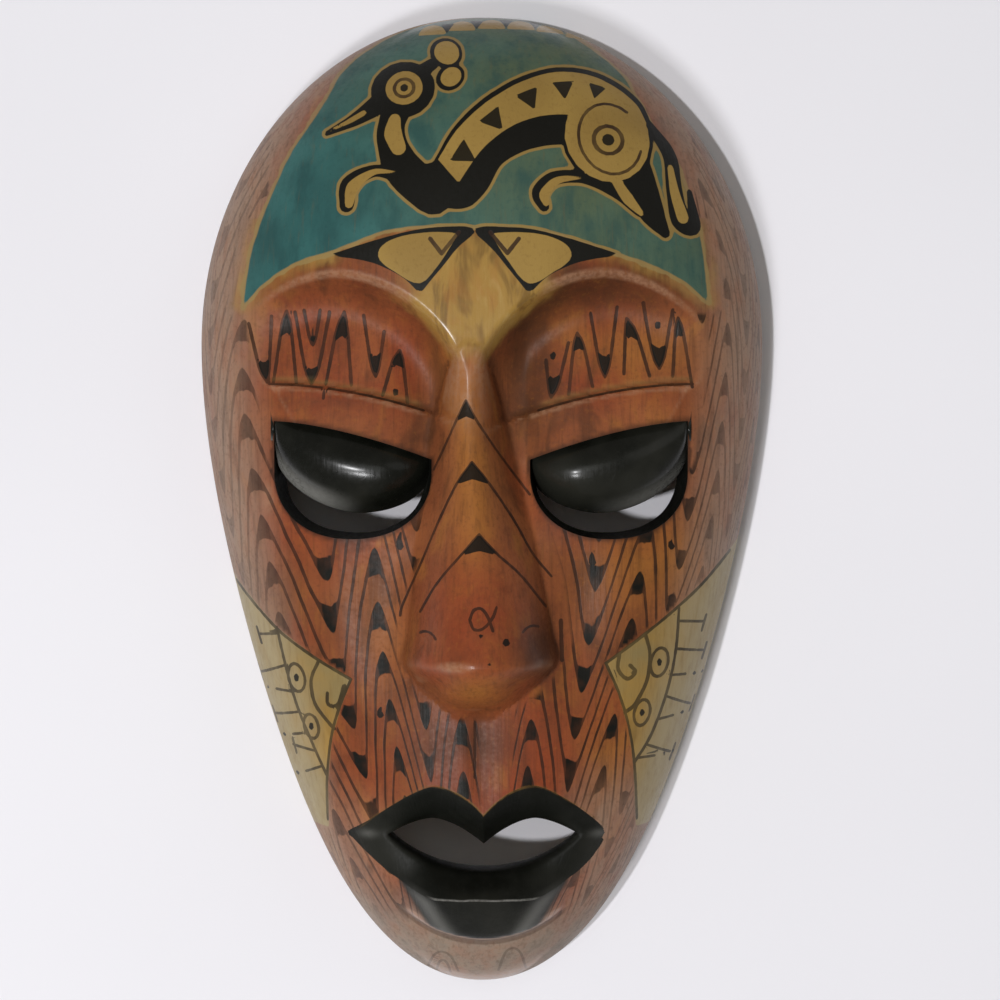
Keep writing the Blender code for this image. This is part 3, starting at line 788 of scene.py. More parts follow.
def teardrops(drawing):
    """Small drops of ink in the open cells beside and under the eyes."""
    for x, y, length in ((-23.7, -12, 4.4), (32.9, -17.1, 3.4), (56.6, -13.2, 2), (-29.6, -62.6, 2.2)):
        drop = ((x + 0.3, y + length / 2), (x - 0.3, y), (x, y - length / 2))
        drawing.shape(2, limb(drop, (0.6, 1.4, 2.2)))


def chin_arches(drawing):
    """A few faint arches under the lower lip."""
    arches = ((-11.9, -137, 9.6, 7.4), (-11.7, -140.2, 4.4, 4.8), (9.4, -135.4, 8.4, 8.4))
    for middle, top, width, drop in arches:
        legs = ((-0.5, 1), (-0.28, 0.25), (0, 0), (0.3, 0.25), (0.5, 1))
        drawing.stroke(curve([(middle + across * width, top - down * drop) for across, down in legs]), 0.8, 2)


def cheek_panel(drawing, side, top, inner, foot, eyes, hook, curl, ribs):
    """One panel: its borders, the line inside it, eyed ovals, a hook and ribs out to the rim."""
    drawing.stroke(curve(top), 0.95, 0)
    drawing.stroke(curve(inner), 0.95, 1)
    drawing.stroke(curve(foot), 0.85, 2)
    drawing.stroke(curve(hook), 1.1, 1)
    drawing.stroke(curve(curl), 1.1, 2)
    for x, y, reach in eyes:
        drawing.stroke(ring((x, y), reach, 0.62, lean=side * -12, steps=18), 0.95, 0)
        drawing.shape(2, ring((x, y), 1.3, 0.7, steps=8))
    inner = curve(inner)
    for share, reach, forked in ribs:
        start = inner[int(share * (len(inner) - 1))]
        slope = 0.3 * math.sin(19.0 * share + side) - 0.14
        end = start + (side * reach, slope * reach)
        drawing.stroke([start, end], 0.85, 0)
        if forked:
            fork = ((side * (0.6 - 3.0 * slope), 2.2), (-side * (0.8 + 2.0 * slope), -2.8))
            drawing.stroke(end + np.array(fork), 0.85, 2)
        else:
            for gap in (3.2, 6.4):
                drawing.shape(2, ring(end + (side * gap, slope * gap), 0.75, steps=7))


LEFT_PANEL = {
    "top": ((-75.5, -25), (-61.6, -38.8), (-50.5, -46.6), (-38.4, -53.4)),
    "inner": ((-61.4, -38.6), (-58.8, -50), (-55.4, -62), (-50.4, -74), (-46.2, -83)),
    "foot": ((-38.4, -53.4), (-42, -62), (-44.6, -71), (-46.2, -84), (-46.4, -97)),
    "eyes": ((-55.3, -53.6, 4.3), (-50.9, -68.2, 3.8)),
    "hook": ((-48.4, -48.6), (-50.6, -54), (-49.6, -61), (-45.4, -66.6), (-43.6, -68.4)),
    "curl": ((-40.6, -55.4), (-42.4, -61), (-45.4, -61.2), (-45.6, -57.6)),
    "ribs": ((0.06, 6.5, True), (0.26, 9, True), (0.42, 5.5, False), (0.56, 8.5, True), (0.7, 5, False),
             (0.82, 7.5, True), (0.95, 5.5, False)),
}
RIGHT_PANEL = {
    "top": ((76, -15.8), (66, -26.2), (56, -34.6), (45.4, -42.6), (36.9, -48.6)),
    "inner": ((59.2, -32.4), (58.4, -45), (56, -57), (51.2, -70.4), (45.8, -78.9)),
    "foot": ((36.9, -48.6), (41, -58), (44, -68), (45.8, -79), (47.1, -97)),
    "eyes": ((53.2, -48.8, 4.4), (48, -63.8, 4)),
    "hook": ((48.8, -40.4), (50.2, -46), (49.4, -54), (45.8, -61), (42.8, -63.4)),
    "curl": ((41, -45.6), (40.6, -50.6), (43.4, -53.4), (45.8, -51.4), (44.2, -49.4)),
    "ribs": ((0.1, 8.5, True), (0.28, 9.5, True), (0.42, 4.6, False), (0.55, 8.5, True), (0.7, 5, False),
             (0.84, 8, True), (0.97, 5.5, False)),
}


def cheek_panels(drawing):
    cheek_panel(drawing, -1, **LEFT_PANEL)
    cheek_panel(drawing, 1, **RIGHT_PANEL)


def fan_outline(panel, rim, foot_at=-99):
    """The field of a cheek panel, from a point past the rim down its borders and out to the rim again."""
    foot = panel["foot"]
    return rim, *panel["top"][1:], *foot[1:-1], (foot[-1][0], foot_at), (math.copysign(80, rim[0]), foot_at)


# Outlines of the painted fields
TEAL_PANEL = ((-71.3, 57.6), (-68.3, 75.9), (-58.3, 101.2), (-48, 117.9), (-41.5, 130.7), (-31.5, 139.2),
              (-23, 144), (-8, 148), (8, 149.4), (20, 147.6), (29.6, 140.4), (42.1, 129.3),
              (48.7, 116.6), (58.7, 99), (65.4, 78.1), (67.7, 58.6))
TEAL_FOOT = ((67.7, 58.6), (60, 64.6), (50, 69.2), (37, 73.2), (18.5, 78.6), (-0.4, 79.6),
             (-24.6, 79.2), (-42.5, 73.4), (-53.5, 70.4), (-64.3, 64.4), (-71.3, 57.6))
FANS = (fan_outline(LEFT_PANEL, (-84, -16)), fan_outline(RIGHT_PANEL, (86, -5.5)))
NOSE_FIELD = ((-4.3, 31), (-13, 9), (-17, -17), (-22.6, -31), (-25, -43), (-22.8, -51),
              (-14, -60), (-4, -64.4), (6, -64), (15.6, -57.6), (22.6, -50), (26, -42),
              (24.5, -25), (20, -8), (10, 14))

# Columns of the wave pattern: how far round the mask each lies, in degrees, and the height of one of its
# tips. Tips point down in the even columns and up in the odd ones.
COLUMNS = (-93, -82, -70.5, -52, -32.5, -20.2, -11.5, -3.2, 3.6, 10.9, 23, 33.8, 46, 56, 66,
           76, 86)
COLUMN_TIPS = (-10, -14, -12.7, -9.4, -9.6, -5, -10, -10.6, -12, -10.6, -13.1, -11.2, -6.5, -10,
               -12, -9, -12)
WAVE_PERIOD = 14.6
WAVE_HEIGHT = 3.3
WAVE_TIP = 0.115  # share of a line's height that is filled in at each tip
WAVE_PEN = 0.088  # half the thickness of a line, as a share of the period, and how much it grows midway
WAVE_PEN_SWELL = 0.19
FIRST_COLUMN = -2.0

# How far round each place the face is compared with it, for the wear and painted highlight on what stands out
# and the painted shade in what lies lower
BULGE_REACH = 2.0

# Finish of the wood: roughness of the stain and of the lids, and how strong and deep the grain is
SHEEN = 0.44
LID_SHEEN = 0.3
GRAIN_STRENGTH = 0.35
GRAIN_DEPTH = 0.0006

# Tones of the stain, each a list of soft ovals: middle, reach across and along, strength. The darker ovals
# are dark stain and painted shade, and the last list is painted highlights.
REDDER = ((-43, 30, 22, 6, 0.8), (40, 31, 22, 5, 0.45), (-22, 40, 7, 16, 0.6),
          (-1, -34, 16, 16, 0.8), (-30, -78, 14, 14, 0.6), (-58, -2, 12, 22, 0.6),
          (16, -76, 12, 10, 0.5), (-40, 46, 20, 8, 0.3))
# Dark stain, and painted shade on the right of the nose, its bridge and wings, under the nose, in the
# philtrum and in the hollow under the right brow
DARKER_AND_SHADE = ((22, -138, 12, 8, 0.3), (16, 64, 5, 5, 0.3), (17, -44, 6, 9, 1.1),
          (-0.6, -78, 1.6, 12, 0.5), (2, -78, 4, 12, 0.25), (14.5, 38, 6.5, 22, 1.25),
          (31, 62, 26, 7.5, 1.1), (-17, 22, 4, 12, 0.6), (1, -71, 14, 8, 0.7),
          (30, -20, 8, 16, 0.3), (-43, 28.5, 24, 2.4, 0.4), (22, -52, 6, 9, 0.4),
          (-22, -57, 7, 4, 0.5), (-46, 62, 28, 5, 0.3), (40, -40, 12, 14, 0.35),
          (-60, -30, 10, 12, 0.25), (-15, -74, 9, 10, 0.6), (-38, -32, 10, 14, 0.35),
          (-32, -66, 12, 10, 0.35), (20, -10, 4, 16, 0.35), (14, 50, 8, 12, 0.5))
YELLOWER = ((-2, 0, 6, 22, 0.9), (-5, 30, 4, 16, 0.7), (44, -20, 14, 14, 0.7),
            (48, 44, 18, 8, 0.7), (-1, -55.5, 9, 5, 1), (60, -18, 9, 14, 0.6),
            (22, 54, 8, 10, 0.4), (-12, 46, 5, 12, 0.5), (-28, -40, 8, 14, 0.35),
            (40, -80, 9, 16, 0.5))
# Painted highlights: soft light spots on the tip, a wing and the base of the nose, on the bridge and on the
# left cheek by the eye
HIGHLIGHT_SPOTS = ((-7.2, -48.2, 5, 1.5, 0.6), (-19, -53, 5, 1.4, 0.35), (-1.9, -62, 5, 0.7, 0.5),
          (-63.6, 0, 2.2, 5, 0.5), (-9.6, 42, 1.6, 12, 0.4), (-4.4, 27, 1.4, 3, 0.6))


def wave_places(x, y):
    """Column number and line number of the wave pattern at each place, and how far round it lies."""
    reach = np.clip(np.abs(x) / np.maximum(half_width(y), 1.0), 0.0, 1.0)
    round_at = np.sign(x) * np.degrees(np.arcsin(reach ** (SECTION_POWER / 2)))
    round_at = round_at + 0.9 * hand_cut(x, y, 13.0) * smooth(0.0, 14.0, np.abs(round_at))
    column = FIRST_COLUMN + np.interp(round_at, COLUMNS, np.arange(len(COLUMNS)))
    tip = np.interp(round_at, COLUMNS, COLUMN_TIPS)
    line = (y - tip) / WAVE_PERIOD + 0.07 * hand_cut(y, x, 9.0)
    return column, line, round_at


def store(mesh, name, columns, domain="POINT"):
    """Keeps three values for each vertex or each corner of a face, for the paint to read."""
    attribute = mesh.attributes.new(name, "FLOAT_VECTOR", domain)
    attribute.data.foreach_set("vector", np.column_stack(columns).astype(np.float32).ravel())


def ovals(x, y, tones):
    """Overlapping soft ovals of a tone, 1 at most."""
    total = sum(strength * bump(x - at_x, y - at_y, reach) for at_x, at_y, *reach, strength in tones)
    return np.minimum(total, 1.0)


def paint_panels(mesh, x, y, flat):
    """Where the teal, the cheek panels and the ochre lie; returns where the wave lines stay off."""
    teal = depth_in(flat, np.concatenate((curve(TEAL_PANEL), curve(TEAL_FOOT)[1:-1])))
    fans = np.maximum(*(depth_in(flat, outline) for outline in FANS))
    hollow = brow_hollow(x, y)
    between = bump(x + 1.0, y - 62.0, (22.0, 22.0), power=2.6) * smooth(31.0, 42.0, y)
    between = between * (1.0 - smooth(0.2, 0.6, hollow))
    over_brow = smooth(-8.0, -1.0, teal) * smooth(52.0, 58.0, y) * (y < 84)
    over_brow = over_brow * (1.0 - smooth(0.05, 0.35, hollow))
    ochre = np.clip(np.maximum(between, 0.44 * over_brow), 0.0, 1.0)
    store(mesh, "panels", (teal, fans, ochre))
    brow = smooth(50.0, 54.0, y) * smooth(-16.0, -12.0, teal) * (np.abs(x) < 64.0)
    hollow = smooth(0.03, 0.12, hollow * smooth(6.0, 14.0, y))
    nose_field = smooth(-1.8, 0.2, depth_in(flat, NOSE_FIELD))
    painted = (smooth(-1.0, -0.4, teal), smooth(-1.2, -0.6, fans), ochre > 0.12)
    return np.max((nose_field, hollow, brow, *painted), axis=0)


FIGURES = (animal, leaves, crown_scallops, brow_teeth, nose_marks, teardrops, chin_arches, cheek_panels)


def paint_figures(mesh, flat):
    drawing = Drawing()
    for draw in FIGURES:
        draw(drawing)
    store(mesh, "figures", drawing.depths(flat).T)
    for layer in range(LAYERS):
        store(mesh, f"strokes_{layer}", drawing.strokes_near(flat, layer).T)


def paint_waves(mesh, x, y, bare):
    column, line, round_at = wave_places(x, y)
    bare = np.maximum(bare, smooth(-0.6, 0.2, round_at) * smooth(7.4, 6.6, round_at))
    bare = np.maximum(bare, smooth(-12.0, 4.0, y) * smooth(27.0, 22.0, np.abs(x)))
    chin = smooth(-118.0, -130.0, y)
    store(mesh, "waves", (column, line, (1.0 - bare) * (1.0 - chin)))


def paint_black(mesh, x, y, marks, corners, slit):
    """Black on the lids, in the sockets and on the lips, with its soft flanks; also painted sheen on the
    lids' outer edges and the lower lip's flanks, painted highlights in the mouth's corners, and where the
    pale lines of worn paint and painted highlight run along the lips' edges.
    """
    across = np.abs(x - MOUTH_CENTRE)
    share = np.clip(across / MOUTH_REACH, 0.0, 1.0)
    over_lip = y - (MOUTH_CORNER_AT + upper_lip(share))
    under_lip = y - (MOUTH_CORNER_AT - lower_lip(share))
    foot = LOWER_LIP_FOOT + LOWER_LIP_CURVE * across**2
    flank = LIP_FRONT - LIP_FRONT_TAPER * np.clip(LIP_FRONT_FROM - y, 0.0, None)
    front = smooth(flank + 2.2, flank - 2.2, across) * smooth(foot - 0.4, foot + 0.5, y)
    front = front * smooth(1.5, -0.5, under_lip) * (under_lip < 2.0)
    in_black = np.isin(marks, (MOUTH, SOCKET, LID))
    black = np.where(in_black, 1.0, front[corners] * (marks == FACE))
    raw = np.isin(marks, (HOLLOW, RIM))
    store(mesh, "coats", (black, raw, marks == LID), "CORNER")

    # Painted sheen on the flanks of the lower lip's front, and a painted highlight in each corner of the
    # mouth
    lip_sheen = 0.4 * np.exp(-(((flank - 4.0 - across) / 2.8) ** 2)) * smooth(1.0, -2.0, under_lip)
    lip_sheen = lip_sheen + 0.3 * bump(across - 34.5, y - MOUTH_CORNER_AT, (2.6, 1.3))
    side = np.abs(x)
    over_fold = (y - lid_fold(side) - 1.5) / 0.8
    fold = np.exp(-(over_fold**2)) * smooth(64.0, 60.0, side) * smooth(16.0, 20.0, side)
    around = np.maximum(y - lid_edge(side), socket_foot(side) - y)
    edge = smooth(1.6, 0.2, around) * (np.abs(side - EYE_CENTRE) < EYE_REACH + 1.0)
    store(mesh, "wear", (np.clip(over_lip, -9.0, 9.0), fold, edge))
    # Painted sheen: a grey band along the lower outer edge of each lid
    over_foot = y - eyelid_foot(side, slit)
    band = smooth(5.5, 1.0, over_foot) * smooth(EYE_CENTRE - 8.0, EYE_CENTRE + 14.0, side)
    left_band = smooth(6.5, 1.5, over_foot) * smooth(EYE_CENTRE - 4.0, EYE_CENTRE + 12.0, side)
    lid_sheen = np.where(x < 0.0, left_band, 0.6 * band)
    store(mesh, "blooms", (lid_sheen, lip_sheen, np.clip(under_lip, -9.0, 9.0)))


def paint_tones(mesh, x, y):
    # Greyer towards the rim, on the chin and on the jaw: faded stain, with painted sheen on the steep sides
    grey = smooth(0.68, 0.93, np.abs(x) / np.maximum(half_width(y), 1.0))
    grey = np.maximum(grey, 0.85 * smooth(-116.0, -136.0, y))
    right = x > 0.0
    jaw = (0.5 + 0.35 * right) * smooth(-80.0, -106.0, y - 8.0 * right) * smooth(18.0, 36.0, np.abs(x))
    grey = np.maximum(grey, jaw)
    store(mesh, "tones", [ovals(x, y, tones) for tones in (REDDER, DARKER_AND_SHADE, YELLOWER)])
    teal_age = smooth(-60.0, 40.0, x + 0.5 * (y - 100.0))
    # How far each place stands out over its surroundings, for painted shade where it lies lower and worn
    # stain with painted highlight where it stands out; the painted highlight spots are added in
    steps = ((BULGE_REACH, 0), (-BULGE_REACH, 0), (0, BULGE_REACH), (0, -BULGE_REACH))
    bulge = face_height(x, y) - sum(face_height(x + across, y + along) for across, along in steps) / 4.0
    bulge = bulge * smooth(0.97, 0.88, np.hypot(x / half_width(y), 0.6 * y / CROWN_AT))
    bulge = bulge * (1.0 - 0.8 * smooth(24.0, 4.0, y) * smooth(34.0, 26.0, np.abs(x)) * (y > -98.0))
    store(mesh, "ages", (grey, teal_age, bulge + ovals(x, y, HIGHLIGHT_SPOTS)))


# Materials

class Wire:
    """An output socket; sums, products and the like on it add the nodes that work them out."""

    def __init__(self, nodes, socket):
        self.nodes = nodes
        self.socket = socket

    def maths(self, operation, *values):
        made = self.nodes.add("ShaderNodeMath", {"operation": operation}, dict(enumerate(values)))
        return Wire(self.nodes, made.outputs[0])

    def __add__(self, other):
        return self.maths("ADD", self, other)

    def __sub__(self, other):
        return self.maths("SUBTRACT", self, other)

    def __rsub__(self, other):
        return self.maths("SUBTRACT", other, self)

    def __mul__(self, other):
        return self.maths("MULTIPLY", self, other)

    def __abs__(self):
        return self.maths("ABSOLUTE", self)

    __radd__ = __add__
    __rmul__ = __mul__

    def least(self, other):
        return self.maths("MINIMUM", self, other)

    def most(self, other):
        return self.maths("MAXIMUM", self, other)

    def over(self, edge, blur):
        """0 below edge, 1 above it, with a soft step of the given width."""
        return self.ramp(edge - blur / 2, edge + blur / 2)

    def ramp(self, start, end, low=0.0, high=1.0):
        """Goes from low to high as the value goes from start to end, and stays there."""
        settings = {"interpolation_type": "SMOOTHSTEP", "clamp": True}
        sockets = {"Value": self, "From Min": start, "From Max": end, "To Min": low, "To Max": high}
        return Wire(self.nodes, self.nodes.add("ShaderNodeMapRange", settings, sockets).outputs[0])


class Nodes:
    """One material's node tree."""

    def __init__(self, name):
        self.material = bpy.data.materials.new(name)
        self.material.use_nodes = True
        self.tree = self.material.node_tree
        self.shader = self.tree.nodes["Principled BSDF"]
        self.place = self.add("ShaderNodeTexCoord").outputs["Object"]

    def add(self, kind, settings=None, sockets=None):
        """Adds a node, makes its settings, then fills its sockets with values or wires."""
        made = self.tree.nodes.new(kind)
        for name, value in (settings or {}).items():
            setattr(made, name, value)
        for name, value in (sockets or {}).items():
            self.feed(made.inputs[name], value)
        return made

    def feed(self, socket, value):
        if isinstance(value, Wire):
            value = value.socket
        if isinstance(value, bpy.types.NodeSocket):
            self.tree.links.new(value, socket)
        elif hasattr(socket.default_value, "__len__"):
            socket.default_value = tuple(value) + (1.0,) * (len(socket.default_value) - len(value))
        else:
            socket.default_value = value

    def field(self, name):
        """The three parts of a vector that is stored on the mesh."""
        read = self.add("ShaderNodeAttribute", {"attribute_type": "GEOMETRY", "attribute_name": name})
        return self.parts(read.outputs["Vector"])

    def parts(self, vector):
        split = self.add("ShaderNodeSeparateXYZ", None, {0: vector})
        return [Wire(self, part) for part in split.outputs]

    def stretched(self, scale):
        made = self.add("ShaderNodeMapping", None, {"Vector": self.place, "Scale": scale})
        return made.outputs[0]

    def noise(self, size, detail=2.0, roughness=0.5, stretch=(1.0, 1.0, 1.0), warp=0.0):
        """Cloudy noise between 0 and 1, whose patches are about as large as size, in metres."""
        scale = [1.0 / (size * part) for part in stretch]
        sockets = {"Vector": self.stretched(scale), "Scale": 1.0, "Detail": detail, "Roughness": roughness,
                   "Distortion": warp}
        made = self.add("ShaderNodeTexNoise", {"noise_dimensions": "3D"}, sockets)
        return Wire(self, made.outputs[0])

    def mix(self, share, first, second):
        """From the first colour to the second as share goes from 0 to 1."""
        made = self.add("ShaderNodeMix", {"data_type": "RGBA"}, {0: share, 6: first, 7: second})
        return Wire(self, made.outputs[2])

    def finish(self, colour, roughness, height, strength, distance):
        sockets = {"Height": height, "Strength": strength, "Distance": distance}
        normal = self.add("ShaderNodeBump", None, sockets).outputs[0]
        for name, value in (("Base Color", colour), ("Roughness", roughness), ("Normal", normal)):
            self.feed(self.shader.inputs[name], value)


def as_light(colour):
    """A colour that was picked on the screen, as the light that it stands for."""
    return tuple(c / 12.92 if c <= 0.04045 else ((c + 0.055) / 1.055) ** 2.4 for c in colour)


def painted_wood(colours):
    nodes = Nodes("painted wood")
    pick = {name: as_light(getattr(colours, name)) for name in colours.bl_rna.properties.keys()
            if name not in ("rna_type", "name")}
    mix, noise = nodes.mix, nodes.noise

    teal_depth, fan_depth, ochre = nodes.field("panels")
    shape_black, shape_ochre, shape_marks = nodes.field("figures")
    column, line, wave_strength = nodes.field("waves")
    black, raw, lid = nodes.field("coats")
    over_lip, fold_light, socket_edge = nodes.field("wear")
    redder, darker_and_shade, yellower = nodes.field("tones")
    faded_and_sheen, teal_age, bulge = nodes.field("ages")

    clouds = noise(0.022, 3.0, 0.55)
    patches = noise(0.045, 2.0, 0.5, warp=0.4)
    blots = noise(0.012, 3.0, 0.6, stretch=(1.0, 1.7, 1.0), warp=0.6)
    brushed = noise(0.007, 3.0, 0.6, stretch=(1.0, 2.6, 1.0))
    streaks = noise(0.006, 3.0, 0.6, stretch=(1.0, 4.0, 1.0), warp=0.5)
    grain = noise(0.0012, 3.0, 0.6, stretch=(1.0, 26.0, 2.0))
    fibres = noise(0.0005, 2.0, 0.6, stretch=(1.0, 30.0, 1.5))
    speckle = noise(0.0014, 2.0, 0.6)
    wobble = noise(0.006, 2.0, 0.5) - 0.5
    fine_wobble = noise(0.0022, 1.0, 0.5) - 0.5
    drift = noise(0.014, 1.0, 0.5) - 0.5

    place_x, height_up, _ = nodes.parts(nodes.place)
    from_notch = abs(place_x - 0.001 * MOUTH_CENTRE)

    def coated(ground, *coats):
        """The ground under thin coats, each a share and the name of its colour."""
        for share, name in coats:
            ground = mix(share, ground, pick[name])
        return ground

    # Stained wood with its grain, with painted shade in the hollows and beside the nose, painted highlights
    # on the crests and painted sheen along the sides
    cloudy = clouds.ramp(0.3, 0.7)
    specks = speckle.ramp(0.5, 0.8, 0.0, 0.3)
    dusty = height_up.ramp(-0.112, -0.134) * brushed.ramp(0.25, 0.7, 0.45, 0.9)
    # What stands out: worn crests and painted highlights
    crest = bulge.ramp(0.10, 0.55)
    wood = coated(
        pick["stain"],
        (cloudy, "stain_light"),
        (patches.ramp(0.45, 0.65, 0.0, 0.6), "stain_red"),
        (blots.ramp(0.52, 0.72, 0.0, 0.55), "stain_gold"),
        (blots.ramp(0.46, 0.3, 0.0, 0.5), "stain_shade"),
        (yellower * (0.85 + 0.5 * wobble), "stain_gold"),
        (redder * (0.8 + 0.8 * wobble), "stain_red"),
        # Faded stain, and painted sheen along the steep sides
        (faded_and_sheen * brushed.ramp(0.25, 0.6, 0.55, 1.0) * 0.85, "stain_grey"),
        (dusty, "stain_dusty"),
        # Dark stain, and painted shade beside the nose, under it, in the philtrum and under the right brow
        (darker_and_shade * (0.75 + 0.6 * wobble), "stain_shade"),
        (brushed.ramp(0.45, 0.8, 0.0, 0.3), "stain_shade"),
        (grain.ramp(0.45, 0.75, 0.0, 0.35), "stain_shade"),
        (specks * (1.0 - 0.7 * dusty), "stain_shade"),
        (speckle.ramp(0.45, 0.2, 0.0, 0.22), "stain_gold"),
        # Painted shade where the face lies lower than its surroundings
        (bulge.ramp(-0.08, -0.5) * 0.5, "stain_shade"),
        # Stain rubbed thin on the crests, and painted highlights there and at the highlight spots
        (crest * speckle.ramp(0.2, 0.7, 0.15, 0.6), "stain_rubbed"),
    )

    # Wave lines with filled tips
    ramp = column.maths("PINGPONG", column, 1.0)
    ramp = ramp.maths("SMOOTH_MAX", ramp, 0.04, 0.1)
    ramp = ramp.maths("SMOOTH_MIN", ramp, 0.96, 0.1)
    wave = 0.5 * ramp + 0.5 * ramp * ramp * (3.0 - 2.0 * ramp)
    level = WAVE_TIP + 0.08 * wobble
    blunt = wave.maths("SMOOTH_MAX", wave, level, 0.03)
    blunt = wave.maths("SMOOTH_MIN", blunt, 1.0 - level, 0.03)
    centre = line + 0.25 * drift - 0.5 * WAVE_HEIGHT * (wave + blunt)
    fill = 0.5 * WAVE_HEIGHT * abs(wave - blunt)
    away = abs(centre - centre.maths("ROUND", centre))
    pen = WAVE_PEN + WAVE_PEN_SWELL * wave * (1.0 - wave) + 0.08 * wobble + 0.05 * fine_wobble
    ink = (fill + pen - away).over(0.0, 0.04)
    tip = fill.ramp(0.02, 0.07)
    # Lines and tips paler where the stain is faded and painted sheen lies
    ink_colour = mix(tip * (1.0 - 0.8 * faded_and_sheen), pick["line"], pick["ink"])
    ink_share = ink * wave_strength * (1.0 - 0.66 * faded_and_sheen) * (0.82 + 0.13 * tip + 0.5 * wobble)
    wood = mix(ink_share.least(1.0), wood, ink_colour)

    # Ochre between the brows
    earth = coated(
        pick["ochre_pale"],
        (patches.ramp(0.25, 0.55), "ochre"),
        (clouds.ramp(0.35, 0.7, 0.0, 0.7), "ochre"),
        (streaks.ramp(0.48, 0.66, 0.0, 0.8), "ochre_dark"),
        (streaks.ramp(0.45, 0.3, 0.0, 0.7), "ochre_pale"),
        (blots.ramp(0.5, 0.7, 0.0, 0.4), "stain_gold"),
    )
    colour = mix((ochre + 0.5 * wobble).ramp(0.15, 0.75), wood, earth)

    # Cheek panels
    straw = coated(
        pick["fan"],
        (cloudy, "ochre"),
        (blots.ramp(0.5, 0.7, 0.0, 0.4), "ochre_dark"),
        # Faded straw, and painted sheen near the sides
        (faded_and_sheen * brushed.ramp(0.2, 0.6, 0.6, 1.0), "fan_pale"),
        (grain.ramp(0.45, 0.75, 0.0, 0.3), "ochre_dark"),
    )
    colour = mix((fan_depth + 0.5 * wobble).over(-0.3, 0.5), colour, straw)

    # Teal ground with its ochre border
    border = (teal_depth + 1.2 + 2.6 * wobble).over(0.0, 0.5)
    ground = coated(
        pick["teal"],
        (clouds.ramp(0.3, 0.7, 0.0, 0.55), "teal_dark"),
        (teal_age * patches.ramp(0.3, 0.6, 0.55, 1.0), "teal_green"),
        (brushed.ramp(0.4, 0.7, 0.0, 0.6), "teal_dark"),
        (specks, "teal_dark"),
        (grain.ramp(0.55, 0.8, 0.0, 0.25), "ochre_dark"),
    )
    teal = (teal_depth + 0.8 * wobble).over(0.0, 0.5)
    colour = mix(teal, coated(colour, (border * 0.7, "ochre_edge")), ground)

    # The figures: an ochre edge, a black outline, an ochre inside and black marks
    on_panel = (teal_depth + 30.0).over(0.0, 0.5) * (fan_depth * -1.0).over(2.0, 1.0)
    earth = coated(
        pick["figure"],
        (patches.ramp(0.35, 0.65, 0.0, 0.4), "ochre_dark"),
        (specks, "ochre_dark"),
    )
    halo = (shape_black + 0.9 + 0.8 * wobble).over(0.0, 0.3) * teal
    outline = (shape_black + 0.35 * wobble).over(0.0, 0.2) * on_panel
    colour = coated(colour, (halo * 0.75, "ochre"), (outline, "ink"))
    colour = mix((shape_ochre + 0.35 * wobble).over(0.0, 0.2) * on_panel, colour, earth)
    stroke = None
    for layer in range(LAYERS):
        off_x, off_y, gap = nodes.field(f"strokes_{layer}")
        away = off_x.maths("SQRT", off_x * off_x + off_y * off_y)
        drawn = (1.0 - away + 0.5 * fine_wobble + 0.4 * wobble).over(0.0, 0.35) * (1.05 - gap).over(0.0, 0.2)
        stroke = drawn if stroke is None else stroke.most(drawn)
    in_fan = fan_depth.over(-0.5, 0.5)
    thin = mix(in_fan * 0.75, pick["line"], pick["fan_line"])
    faint = 1.0 - 0.55 * height_up.ramp(-0.12, -0.13)
    colour = mix(stroke * brushed.ramp(0.3, 0.7, 0.95, 0.7) * faint, colour, thin)

    # Black marks, a pale line over the folds and dark edges round the eyes
    colour = coated(
        colour,
        ((shape_marks + 0.3 * wobble).over(0.0, 0.2) * 0.96, "ink"),
        (fold_light * 0.2, "ochre_pale"),
        (socket_edge * 0.7, "line"),
    )

    # Black lacquer of the lids and the lips, rubbed through in spots, with painted sheen along the lids'
    # outer edges and on the lower lip, painted highlights in the mouth's corners, and pale lines of worn
    # paint and painted highlight along the lips' edges
    lid_sheen, lip_sheen, under_lip = nodes.field("blooms")
    on_lips = height_up.ramp(-0.075, -0.08)
    # A pale line along the lower lip's ridge: worn paint and painted highlight
    ridge = abs(under_lip + 0.8 * wobble).ramp(0.45, 0.1) * from_notch.ramp(0.018, 0.014) * on_lips
    lip_sheen = lip_sheen.most(ridge * speckle.ramp(0.2, 0.7, 0.3, 0.7)) * (1.0 - lid)
    lacquer = coated(
        pick["lacquer"],
        (clouds.ramp(0.35, 0.7), "lacquer_worn"),
        (speckle.ramp(0.55, 0.85, 0.0, 0.35), "lacquer_worn"),
        # Painted sheen along the lids' outer edges
        (lid * lid_sheen * speckle.ramp(0.2, 0.8, 0.75, 0.95), "lacquer_sheen"),
        # Painted sheen on the lower lip, painted highlights in the mouth's corners and the pale ridge line
        (lip_sheen, "lacquer_sheen"),
    )
    # A pale line along the upper lip's edge: worn paint and painted highlight
    rubbed = abs(over_lip + 0.8 * wobble).ramp(0.6, 0.15) * from_notch.ramp(0.018, 0.005, 0.4, 1.0) * on_lips
    rubbed = rubbed * from_notch.ramp(0.038, 0.035) * speckle.ramp(0.25, 0.65, 0.15, 0.75)
    colour = coated(mix(black.ramp(0.05, 0.95), colour, lacquer), (rubbed, "ochre_dark"))

    # Raw wood behind
    bare = coated(
        pick["raw"],
        (grain.ramp(0.3, 0.7), "raw_dark"),
        (clouds.ramp(0.45, 0.8, 0.0, 0.5), "raw_dark"),
    )
    colour = mix(raw, colour, bare)

